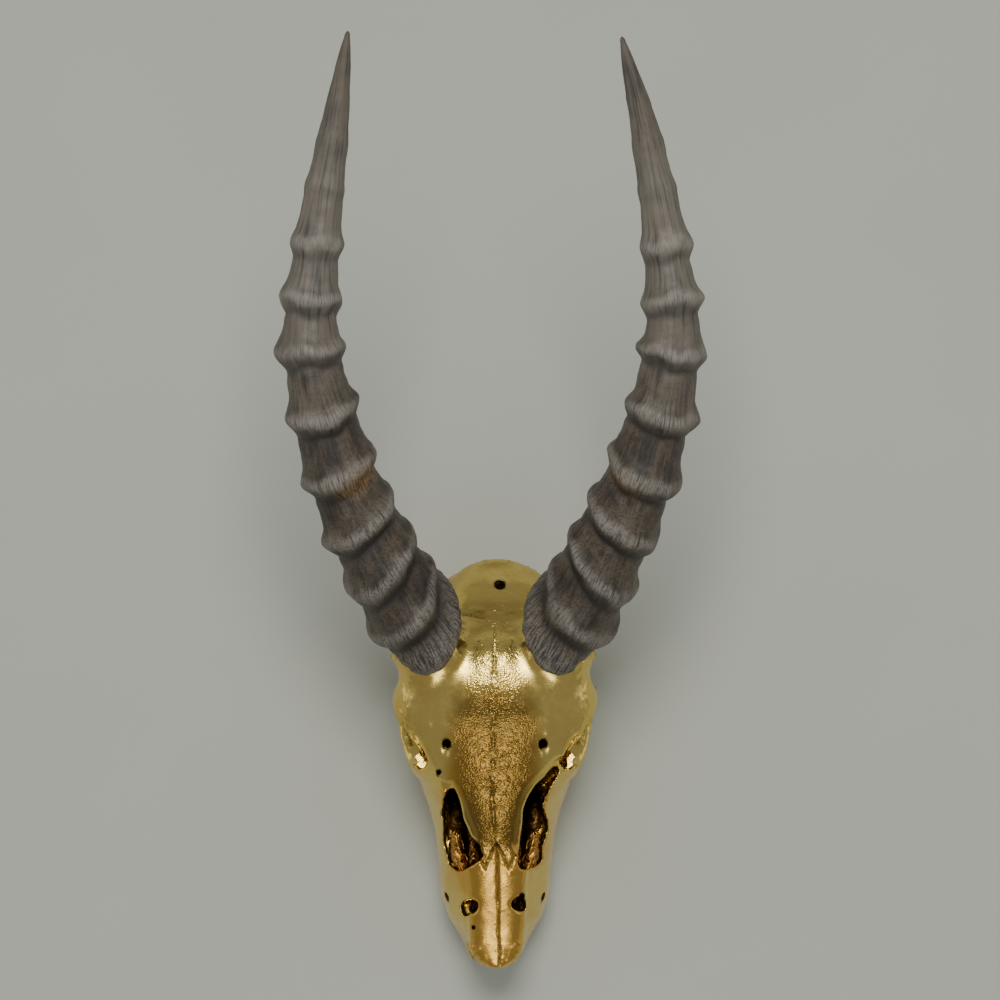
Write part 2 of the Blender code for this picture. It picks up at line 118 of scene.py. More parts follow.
def roughness_of(points: np.ndarray, size: float, seed: float, octaves: int = 3) -> np.ndarray:
    """Evaluate soft noise at places.

    Args:
        points: Places in millimetres, one row each.
        size: Size of the largest lumps in millimetres.
        seed: Offset that picks another part of the pattern.
        octaves: How many finer layers are added.

    Returns:
        One value for each place, about -1 to 1.
    """
    shifted = points / size + seed
    return np.array([
        noise.fractal(Vector(row), 1.0, 2.0, octaves, noise_basis="PERLIN_ORIGINAL")
        for row in shifted
    ])


def route_point(points: Sequence[Sequence[float]], share: float) -> Vector:
    """Read a smooth curve through points.

    Args:
        points: The points that the curve passes.
        share: Place along it, from 0 to 1.

    Returns:
        The point there.
    """
    spans = len(points) - 1
    place = min(max(share, 0.0), 1.0) * spans
    k = min(int(place), spans - 1)
    u = place - k
    here, after = Vector(points[k]), Vector(points[k + 1])
    before = Vector(points[k - 1]) if k else here * 2.0 - after
    later = Vector(points[k + 2]) if k + 2 <= spans else after * 2.0 - here
    value = here * 2.0 + (after - before) * u
    value += (before * 2.0 - here * 5.0 + after * 4.0 - later) * u * u
    value += (here * 3.0 - before - after * 3.0 + later) * u * u * u
    return value * 0.5


def distance_to_route(points: np.ndarray, route: Sequence[Sequence[float]]) -> np.ndarray:
    """Measure how far places are from a chain of straight runs.

    Args:
        points: Places, one row each, with as many columns as the route has.
        route: The corners of the chain.

    Returns:
        One distance for each place.
    """
    best = np.full(len(points), np.inf)
    for start, end in zip(route, route[1:]):
        first, run = np.array(start), np.array(end) - np.array(start)
        share = np.clip((points - first) @ run / (run @ run), 0.0, 1.0)
        gap = np.linalg.norm(points - first - share[:, None] * run, axis=1)
        best = np.minimum(best, gap)
    return best


def nearest(points: np.ndarray, *routes: Sequence[Sequence[float]]) -> np.ndarray:
    """Measure how far places are from the nearest of several chains."""
    return np.minimum.reduce([distance_to_route(points, route) for route in routes])


def linked(name: str, data: bpy.types.ID) -> bpy.types.Object:
    """Put new data in the scene as an object at the origin."""
    made = bpy.data.objects.new(name, data)
    bpy.context.scene.collection.objects.link(made)
    return made


def handed_over(work: bmesh.types.BMesh, name: str) -> bpy.types.Object:
    """Turn a finished bmesh into an object and free it."""
    mesh = bpy.data.meshes.new(name)
    work.to_mesh(mesh)
    work.free()
    return linked(name, mesh)


@contextmanager
def reworked(mesh: bpy.types.Mesh) -> Iterator[bmesh.types.BMesh]:
    """Open a mesh for bmesh operators, and put the result back in it."""
    work = bmesh.new()
    work.from_mesh(mesh)
    work.verts.ensure_lookup_table()
    yield work
    work.to_mesh(mesh)
    work.free()
    mesh.update()


def close_ends(work: bmesh.types.BMesh) -> None:
    """Fill every open rim, and cut the wide faces of the caps into triangles."""
    bmesh.ops.holes_fill(work, edges=[edge for edge in work.edges if edge.is_boundary], sides=0)
    bmesh.ops.triangulate(work, faces=[face for face in work.faces if len(face.verts) > 4])


@dataclass
class Forms:
    """Closed lumps gathered in one mesh before they are fused."""

    work: bmesh.types.BMesh = field(default_factory=bmesh.new)
    ball_sides: int = 40
    bar_sides: int = 20
    bar_steps: int = 6

    def ball(self, centre: Point, radii: Point, turn: Point = (0.0, 0.0, 0.0)) -> None:
        """Add an ellipsoid.

        Args:
            centre: Its middle.
            radii: Its half sizes along its own axes.
            turn: Degrees about X, then Y, then Z.
        """
        angles = [math.radians(value) for value in turn]
        spin = Matrix.Rotation(angles[2], 4, "Z") @ Matrix.Rotation(angles[1], 4, "Y")
        spin = spin @ Matrix.Rotation(angles[0], 4, "X")
        size = Matrix.Diagonal((radii[0] * MM, radii[1] * MM, radii[2] * MM, 1.0))
        bmesh.ops.create_uvsphere(
            self.work, u_segments=self.ball_sides, v_segments=self.ball_sides // 2,
            radius=1.0, matrix=Matrix.Translation(at(centre)) @ spin @ size,
        )

    def balls(self, centre: Point, radii: Point, turn: Point = (0.0, 0.0, 0.0)) -> None:
        """Add an ellipsoid on the right and its mirror image on the left."""
        self.ball(centre, radii, turn)
        x, y, z = centre
        self.ball((-x, y, z), radii, (turn[0], -turn[1], -turn[2]))

    def skin(self, rings: Sequence[Sequence[Sequence[float]]]) -> None:
        """Extrude a face from ring to ring and close its far end.

        Args:
            rings: Outlines of equal count, each a list of working places.
        """
        first = [self.work.verts.new(at(place)) for place in rings[0]]
        face = self.work.faces.new(first)
        for ring in rings[1:]:
            made = bmesh.ops.extrude_discrete_faces(self.work, faces=[face])
            face = made["faces"][0]
            for vertex, place in zip(face.verts, ring):
                vertex.co = at(place)
        self.work.faces.new(reversed(first))

    def bar(self, route: Sequence[Point], radii: Sequence[float], closed: bool = False) -> None:
        """Add a round bar along a smooth curve.

        Args:
            route: The points it passes.
            radii: Its radius at each of them.
            closed: Whether it returns to its start.
        """
        places, sizes = list(route), list(radii)
        if closed:
            places = places[-1:] + places + places[:2]
            sizes = sizes[-1:] + sizes + sizes[:2]
        spans = len(places) - 1
        first, last = (1, spans - 1) if closed else (0, spans)
        count = (last - first) * self.bar_steps
        shares = [(first + k / self.bar_steps) / spans for k in range(count + 1)]
        centres = [route_point(places, share) for share in shares]
        rows = [(size, 0.0, 0.0) for size in sizes]
        widths = [route_point(rows, share).x for share in shares]
        turn = (centres[1] - centres[0]).to_track_quat("Z", "Y")
        rings = []
        for k, (centre, width) in enumerate(zip(centres, widths)):
            ahead = centres[min(k + 1, count)] - centres[max(k - 1, 0)]
            turn = (turn @ Vector((0.0, 0.0, 1.0))).rotation_difference(ahead) @ turn
            rings.append([
                centre + turn @ Vector((math.cos(angle) * width, math.sin(angle) * width, 0.0))
                for angle in (math.tau * i / self.bar_sides for i in range(self.bar_sides))
            ])
        self.skin(rings)

    def bars(self, route: Sequence[Point], radii: Sequence[float], closed: bool = False) -> None:
        """Add a round bar on the right and its mirror image on the left."""
        self.bar(route, radii, closed)
        self.bar([(-x, y, z) for x, y, z in route], radii, closed)

    def post(self, outline: Sequence[tuple[float, float]], low: float, high: float) -> None:
        """Add an upright solid with a plan outline."""
        self.skin([[(x, y, z) for x, y in outline] for z in (low, high)])

    def drill(self, start: Point, end: Point, radius: float, sides: int = 28) -> None:
        """Add a straight round bar between two places."""
        first, last = at(start), at(end)
        turn = (last - first).to_track_quat("Z", "Y").to_matrix().to_4x4()
        bmesh.ops.create_cone(
            self.work, cap_ends=True, segments=sides, radius1=radius * MM,
            radius2=radius * MM, depth=(last - first).length,
            matrix=Matrix.Translation((first + last) / 2.0) @ turn,
        )

    def finished(self, name: str) -> bpy.types.Object:
        """Turn the faces outwards and hand the gathering over as an object."""
        bmesh.ops.recalc_face_normals(self.work, faces=self.work.faces)
        return handed_over(self.work, name)


@dataclass
class Carving:
    """An object with shaping modifiers that are settled into its mesh in one go."""

    item: bpy.types.Object
    helpers: list[bpy.types.Object] = field(default_factory=list)

    def fuse(self, voxel: float) -> None:
        """Fuse what overlaps with a voxel remesh of the given size."""
        step = self.item.modifiers.new("fuse", "REMESH")
        step.mode = "VOXEL"
        step.voxel_size = voxel * MM
        step.use_smooth_shade = True

    def soften(self, rounds: int) -> None:
        """Smooth the steps that a remesh leaves."""
        step = self.item.modifiers.new("soften", "SMOOTH")
        step.factor = 0.5
        step.iterations = rounds

    def join(self, other: bpy.types.Object, way: Cut) -> None:
        """Cut another object away from this one, or add it."""
        step = self.item.modifiers.new(other.name, "BOOLEAN")
        step.operation = way.value
        step.solver = "MANIFOLD"
        step.object = other
        self.helpers.append(other)

    def thin(self, ratio: float) -> None:
        """Collapse edges until this share of the triangles is left."""
        step = self.item.modifiers.new("thin", "DECIMATE")
        step.ratio = ratio
        step.use_collapse_triangulate = True

    def thicken(self, wall: float) -> None:
        """Give a sheet a thickness in millimetres, half to each side."""
        step = self.item.modifiers.new("thicken", "SOLIDIFY")
        step.thickness = wall * MM
        step.offset = 0.0
        step.use_even_offset = False

    def settle(self) -> bpy.types.Object:
        """Replace the mesh by what the modifiers make of it, and drop the helpers."""
        graph = bpy.context.evaluated_depsgraph_get()
        mesh = bpy.data.meshes.new_from_object(self.item.evaluated_get(graph))
        self.item.modifiers.clear()
        old, self.item.data = self.item.data, mesh
        bpy.data.meshes.remove(old)
        mesh.name = self.item.name
        for other in self.helpers:
            bpy.data.objects.remove(other, do_unlink=True)
        self.helpers.clear()
        return self.item


@dataclass
class Clay:
    """The points of a finished mesh, for moves in working millimetres."""

    item: bpy.types.Object
    places: np.ndarray = field(init=False)
    normals: np.ndarray = field(init=False)

    def __post_init__(self) -> None:
        """Read the points and their normals."""
        self.read()

    def read(self) -> None:
        """Take the points and normals from the mesh."""
        mesh = self.item.data
        count = len(mesh.vertices)
        flat = np.empty(count * 3)
        mesh.vertices.foreach_get("co", flat)
        self.places = (flat.reshape(-1, 3) - np.array(ZERO)) / MM
        flat = np.empty(count * 3)
        mesh.vertices.foreach_get("normal", flat)
        self.normals = flat.reshape(-1, 3)

    def push(self, height: np.ndarray) -> None:
        """Move every point along its normal by a height in millimetres."""
        self.places = self.places + self.normals * height[:, None]

    def write(self) -> None:
        """Put the points back in the mesh."""
        flat = self.places * MM + np.array(ZERO)
        self.item.data.vertices.foreach_set("co", flat.ravel())
        self.item.data.update()

    def paint(self, name: str, values: np.ndarray) -> None:
        """Store one value for each point as a named attribute."""
        layer = self.item.data.attributes.new(name, "FLOAT", "POINT")
        layer.data.foreach_set("value", np.clip(values, 0.0, 1.0).astype(np.float32))

    def refine(self, near: np.ndarray) -> None:
        """Split the edges whose two ends are both marked, and read the points again.

        Args:
            near: One truth value for each point.
        """
        with reworked(self.item.data) as work:
            edges = [edge for edge in work.edges if all(near[end.index] for end in edge.verts)]
            bmesh.ops.subdivide_edges(work, edges=edges, cuts=1)
            bmesh.ops.triangulate(work, faces=[face for face in work.faces if len(face.verts) > 3])
        self.read()


class Wire:
    """A shader socket that takes part in Python expressions."""

    def __init__(self, sheet: "Sheet", socket: bpy.types.NodeSocket) -> None:
        """Keep the socket and the sheet it is on."""
        self.sheet = sheet
        self.socket = socket

    def out(self, name: str) -> "Wire":
        """Give another output of the same node."""
        return Wire(self.sheet, self.socket.node.outputs[name])

    def sum_with(self, operation: str, first: "Wire | float", second: "Wire | float") -> "Wire":
        """Add a Math node with this operation on two values."""
        return self.sheet.add("ShaderNodeMath", {"operation": operation}, {0: first, 1: second})

    def __add__(self, other: "Wire | float") -> "Wire":
        """Add."""
        return self.sum_with("ADD", self, other)

    def __radd__(self, other: float) -> "Wire":
        """Add, reflected."""
        return self.sum_with("ADD", other, self)

    def __sub__(self, other: "Wire | float") -> "Wire":
        """Subtract."""
        return self.sum_with("SUBTRACT", self, other)

    def __rsub__(self, other: float) -> "Wire":
        """Subtract, reflected."""
        return self.sum_with("SUBTRACT", other, self)

    def __mul__(self, other: "Wire | float") -> "Wire":
        """Multiply."""
        return self.sum_with("MULTIPLY", self, other)

    def __rmul__(self, other: float) -> "Wire":
        """Multiply, reflected."""
        return self.sum_with("MULTIPLY", other, self)

    def __abs__(self) -> "Wire":
        """Drop the sign."""
        return self.sum_with("ABSOLUTE", self, 0.0)

    def ease(self, low: float, high: float) -> "Wire":
        """Ease from 0 at low to 1 at high."""
        settings = {"interpolation_type": "SMOOTHSTEP"}
        values = {"Value": self, "From Min": low, "From Max": high}
        return self.sheet.add("ShaderNodeMapRange", settings, values)


@dataclass
class Sheet:
    """A material's nodes, with the few ways of adding to them that are needed."""

    material: bpy.types.Material
    shader: bpy.types.Node = field(init=False)

    def __post_init__(self) -> None:
        """Start from a bare Principled shader."""
        self.material.use_nodes = True
        tree = self.material.node_tree
        tree.nodes.clear()
        output = tree.nodes.new("ShaderNodeOutputMaterial")
        self.shader = tree.nodes.new("ShaderNodeBsdfPrincipled")
        tree.links.new(self.shader.outputs["BSDF"], output.inputs["Surface"])

    def set(self, node: bpy.types.Node, inputs: dict) -> None:
        """Give a node's sockets their values or links."""
        for key, value in inputs.items():
            if isinstance(value, Wire):
                self.material.node_tree.links.new(value.socket, node.inputs[key])
            elif isinstance(value, tuple) and node.inputs[key].type == "RGBA":
                node.inputs[key].default_value = (*value, 1.0)
            else:
                node.inputs[key].default_value = value

    def add(self, kind: str, settings: dict, inputs: dict) -> Wire:
        """Add one node.

        Args:
            kind: The node's type.
            settings: Its properties, set first.
            inputs: Values or wires for its sockets, by name or number.

        Returns:
            A wire from its first enabled output.
        """
        node = self.material.node_tree.nodes.new(kind)
        for key, value in settings.items():
            setattr(node, key, value)
        self.set(node, inputs)
        return Wire(self, next(socket for socket in node.outputs if socket.enabled))

    def places(self) -> Wire:
        """Give the object's own coordinates."""
        return self.add("ShaderNodeTexCoord", {}, {}).out("Object")

    def attribute(self, name: str) -> Wire:
        """Read a value stored on the mesh."""
        return self.add("ShaderNodeAttribute", {"attribute_name": name}, {}).out("Fac")

    def vector_attribute(self, name: str) -> Wire:
        """Read a vector stored on the mesh."""
        return self.add("ShaderNodeAttribute", {"attribute_name": name}, {}).out("Vector")

    def lumps(self, where: Wire, size: float, detail: float = 2.0, swirl: float = 0.0) -> Wire:
        """Add noise whose lumps have a size in millimetres, about 0 to 1."""
        values = {"Vector": where, "Scale": 1.0 / (size * MM), "Detail": detail, "Distortion": swirl}
        return self.add("ShaderNodeTexNoise", {}, values)

    def cells(self, where: Wire, size: float) -> Wire:
        """Add the distance to the middle of the nearest cell of a size in millimetres."""
        return self.add("ShaderNodeTexVoronoi", {}, {"Vector": where, "Scale": 1.0 / (size * MM)})

    def blend(self, share: Wire, first: "Wire | Colour", second: "Wire | Colour") -> Wire:
        """Mix two colours."""
        node = self.material.node_tree.nodes.new("ShaderNodeMix")
        node.data_type = "RGBA"
        sockets = {socket.identifier: socket for socket in node.inputs}
        for name, value in (("Factor_Float", share), ("A_Color", first), ("B_Color", second)):
            if isinstance(value, Wire):
                self.material.node_tree.links.new(value.socket, sockets[name])
            else:
                sockets[name].default_value = (*value, 1.0)
        colour = next(socket for socket in node.outputs if socket.identifier == "Result_Color")
        return Wire(self, colour)

    def relief(self, height: Wire, depth: float) -> Wire:
        """Turn a height of 0 to 1 into a bump of a depth in millimetres."""
        values = {"Height": height, "Distance": depth * MM, "Strength": 1.0}
        return self.add("ShaderNodeBump", {}, values)


class Finish:
    """What the finishes have in common."""

    def make(self, name: str) -> bpy.types.Material:
        """Build the material.

        Args:
            name: The material's name.

        Returns:
            The material.
        """
        sheet = Sheet(bpy.data.materials.new(name))
        self.lay(sheet)
        return sheet.material

    def lay(self, sheet: Sheet) -> None:
        """Add the finish to a bare sheet, which each finish does in its own way."""
        raise NotImplementedError


@dataclass(frozen=True)
class GoldPaint(Finish):
    """Sprayed gold paint on bone: satin metal with beads and worm-like wrinkles, dark seams, painted
    shade in the recesses and holes, and a painted warm reflection.
    """

    light: Colour = (0.74, 0.55, 0.15)
    # deep: orange-brown, painted in for the warm reflection of gold on gold
    deep: Colour = (0.66, 0.38, 0.075)
    brown: Colour = (0.19, 0.113, 0.026)
    # pit: near-black brown, painted shade in the recesses and holes, and also the colour of the dark
    # seams
    pit: Colour = (0.055, 0.026, 0.008)
    metal: float = 1.0
    smooth: float = 0.18
    dull: float = 0.28
    wrinkle_size: float = 4.0
    bead_size: float = 1.4
    hammer_size: float = 1.2
    grain_size: float = 0.8
    patch_size: float = 7.0
    cloud_size: float = 24.0
    dull_size: float = 5.0
    line_width: float = 0.055
    relief_depth: float = 0.42

    def lay(self, sheet: Sheet) -> None:
        """Add the finish to a bare sheet."""
        where = sheet.places()
        wrinkled = sheet.attribute("wrinkled")
        pitted = sheet.attribute("pitted")
        warm_reflection = sheet.attribute("warm_reflection")
        hammer = sheet.lumps(where, self.hammer_size, 2.0)
        worms = sheet.lumps(where, self.wrinkle_size, 1.0, 0.7)
        lines = 1.0 - abs(worms - 0.5).ease(0.0, self.line_width)
        patches = sheet.lumps(where, self.patch_size, 1.0).ease(0.42, 0.56)
        patches = patches * sheet.attribute("wormed")
        beads = 1.0 - sheet.cells(where, self.bead_size).ease(0.1, 0.6)
        grain = sheet.lumps(where, self.grain_size, 2.0)
        height = hammer * (0.04 + wrinkled * 0.21) + grain * (0.03 + wrinkled * 0.10)
        height = height + lines * patches * 0.6 + beads * (wrinkled * 0.20 + pitted * 0.4)
        cloud = sheet.lumps(where, self.cloud_size, 3.0).ease(0.35, 0.68)
        # Painted reflection: the warm mark and random clouds mix in the orange-brown deep colour.
        colour = sheet.blend((cloud * 0.5 + warm_reflection).ease(0.15, 0.95), self.light, self.deep)
        colour = sheet.blend(sheet.attribute("brown"), colour, self.brown)
        # Painted shade: darken to the pit colour in the recesses and holes, and draw the dark seams.
        colour = sheet.blend(pitted * (0.55 + grain * 0.9), colour, self.pit)
        dulled = sheet.lumps(where, self.dull_size, 3.0).ease(0.35, 0.7)
        rough = self.smooth + (self.dull - self.smooth) * dulled
        sheet.set(sheet.shader, {
            "Base Color": colour,
            "Metallic": self.metal,
            "Roughness": rough + pitted * 0.3,
            "Normal": sheet.relief(height, self.relief_depth),
        })


@dataclass(frozen=True)
class HornStuff(Finish):
    """Dry horn: dark grey-brown with long fine fibres, paler flanks and crests that are partly wear and
    partly painted highlight, painted shadow in the grooves under the rings, and painted light towards
    the tip.
    """

    dark: Colour = (0.015, 0.011, 0.008)
    middle: Colour = (0.094, 0.072, 0.047)
    grey: Colour = (0.190, 0.174, 0.148)
    pale: Colour = (0.270, 0.250, 0.210)
    stain: Colour = (0.30, 0.17, 0.05)
    black: Colour = (0.010, 0.009, 0.009)
    strand_size: float = 0.75
    broad_size: float = 3.4
    speck_size: float = 1.5
    cloud_size: float = 15.0
    gloss: float = 0.42
    worn: float = 0.62
    fibre_depth: float = 0.5

    def lay(self, sheet: Sheet) -> None:
        """Add the finish to a bare sheet."""
        where = sheet.places()
        fibre = sheet.vector_attribute("fibre")
        groove = sheet.attribute("groove")
        crest = sheet.attribute("crest")
        rim = sheet.attribute("rim")
        stained = sheet.attribute("stained")
        low = sheet.attribute("low")
        strands = sheet.lumps(fibre, self.strand_size, 3.0)
        broad = sheet.lumps(fibre, self.broad_size, 3.0)
        specks = sheet.lumps(where, self.speck_size, 4.0)
        cloud = sheet.lumps(where, self.cloud_size, 4.0)
        tone = broad * 0.32 + strands * 0.3 + cloud * 0.5
        colour = sheet.blend(tone.ease(0.4, 0.68), self.dark, self.middle)
        # Paler crests, strongest on the upward side of each ring: partly wear, partly painted highlight.
        worn = (crest * 0.6 + cloud * 0.6 + low * 0.02).ease(0.38, 0.85)
        light = sheet.blend(specks.ease(0.45, 0.7), self.grey, self.pale)
        colour = sheet.blend(worn * strands.ease(0.25, 0.62), colour, light)
        # Painted shadow in the grooves under the rings.
        colour = sheet.blend(groove * (0.7 + broad * 0.6), colour, self.dark)
        colour = sheet.blend(stained * strands.ease(0.35, 0.6) * 0.8, colour, self.stain)
        # Painted light: paler towards the tip, standing in for the sheen there.
        tip = sheet.attribute("tip") * broad.ease(0.1, 0.6) * 0.36
        colour = sheet.blend(tip, colour, self.pale)
        foot = sheet.attribute("foot")
        colour = sheet.blend(foot * strands.ease(0.42, 0.58) * 0.8, colour, self.grey)
        patches = (specks + low * 0.06).ease(0.56, 0.66) * low
        colour = sheet.blend(patches * 0.55, colour, self.dark)
        colour = sheet.blend(rim * specks.ease(0.3, 0.6), colour, self.black)
        height = strands * (0.45 + crest * 0.35) + broad * 0.3 + specks * (0.14 + rim * 0.5)
        rough = self.gloss + (self.worn - self.gloss) * (crest * 0.4 + specks * 0.8)
        sheet.set(sheet.shader, {
            "Base Color": colour,
            "Roughness": rough,
            "Normal": sheet.relief(height, self.fibre_depth),
        })


@dataclass(frozen=True)
class ToothPaint(Finish):
    """Gold paint over enamel, worn to brown dentine on the chewing face."""

    gold: Colour = (0.78, 0.58, 0.25)
    brown: Colour = (0.20, 0.12, 0.055)
    enamel: Colour = (0.62, 0.53, 0.38)
    grain_size: float = 1.4
    relief_depth: float = 0.25

    def lay(self, sheet: Sheet) -> None:
        """Add the finish to a bare sheet."""
        where = sheet.places()
        chewed = sheet.attribute("chewed")
        pit = sheet.attribute("pit")
        grain = sheet.lumps(where, self.grain_size, 4.0)
        worn = sheet.blend(grain.ease(0.35, 0.6), self.enamel, self.brown)
        colour = sheet.blend(chewed * grain.ease(0.2, 0.45), self.gold, worn)
        colour = sheet.blend(pit, colour, self.brown)
        sheet.set(sheet.shader, {
            "Base Color": colour,
            "Metallic": 1.0 - chewed.ease(0.2, 0.8),
            "Roughness": 0.3 + grain * 0.25,
            "Normal": sheet.relief(grain, self.relief_depth),
        })


@dataclass(frozen=True)
class FloorPaint(Finish):
    """A plain pale floor with the faintest unevenness."""

    pale: Colour = (0.51, 0.530, 0.458)
    other: Colour = (0.47, 0.490, 0.422)
    cloud_size: float = 150.0
    rough: float = 0.8

    def lay(self, sheet: Sheet) -> None:
        """Add the finish to a bare sheet."""
        cloud = sheet.lumps(sheet.places(), self.cloud_size, 3.0)
        sheet.set(sheet.shader, {
            "Base Color": sheet.blend(cloud, self.pale, self.other),
            "Roughness": self.rough,
        })


def rounded(outline: Sequence[Sequence[float]], steps: int) -> list[Vector]:
    """Resample a closed outline on a smooth curve through its points.

    Args:
        outline: Its corners, in two dimensions.
        steps: Points for each corner.

    Returns:
        The finer outline.
    """
    count = len(outline)
    loop = [Vector((*outline[k % count], 0.0)) for k in range(-1, count + 2)]
    shares = [(1 + k / steps) / (count + 2) for k in range(count * steps)]
    return [route_point(loop, share) for share in shares]


def mirrored_ring(
    y: float, half: Sequence[tuple[float, float]], steps: int = 6, shift: float = 0.0,
) -> list[Point]:
    """Close a half outline of (x, z) points over its middle plane at one station."""
    left = [(-x, z) for x, z in reversed(half) if x > 0.0]
    return [(point.x + shift, y, point.y) for point in rounded([*half, *left], steps)]


def oval_ring(
    y: float, half_width: float, bottom: float, top: float, power: float = 2.4,
    shift: float = 0.0, sides: int = 64,
) -> list[Point]:
    """Give a rounded box outline at one station.

    Args:
        y: The station.
        half_width: Half its width.
        bottom: Its lowest height.
        top: Its greatest height.
        power: 2 for an ellipse, more for a squarer outline.
        shift: How far its middle is to the right.
        sides: How many points it has.

    Returns:
        The outline.
    """
    middle, half_height = (bottom + top) / 2.0, (top - bottom) / 2.0
    ring = []
    for k in range(sides):
        c, s = math.cos(math.tau * k / sides), math.sin(math.tau * k / sides)
        x = shift + half_width * math.copysign(abs(c) ** (2.0 / power), c)
        z = middle + half_height * math.copysign(abs(s) ** (2.0 / power), s)
        ring.append((x, y, z))
    return ring


def ragged(outline: Sequence[tuple[float, float]], jag: float, seed: float) -> list[tuple[float, float]]:
    """Break up an outline into small uneven steps.

    Args:
        outline: Its corners.
        jag: How far a point may stray, in millimetres.
        seed: Picks the pattern.

    Returns:
        The uneven outline.
    """
    result = []
    for point in rounded(outline, 5):
        shift = noise.noise_vector(Vector((point.x * 0.45, point.y * 0.45, seed)))
        result.append((point.x + shift.x * jag, point.y + shift.y * jag))
    return result


def dress(item: bpy.types.Object, finish: bpy.types.Material) -> None:
    """Shade an object smooth and give all its faces one finish.

    Args:
        item: The object.
        finish: Its only material.
    """
    mesh = item.data
    mesh.shade_smooth()
    mesh.materials.clear()
    mesh.materials.append(finish)
    mesh.polygons.foreach_set("material_index", [0] * len(mesh.polygons))


@dataclass(frozen=True)
class Trace:
    """A line seen from above, along which the surface rises or sinks."""

    route: Plan
    width: float
    rise: float

    def lift(self, plan: np.ndarray) -> np.ndarray:
        """Give the height that it adds at places seen from above."""
        return bell(distance_to_route(plan, self.route), self.width) * self.rise


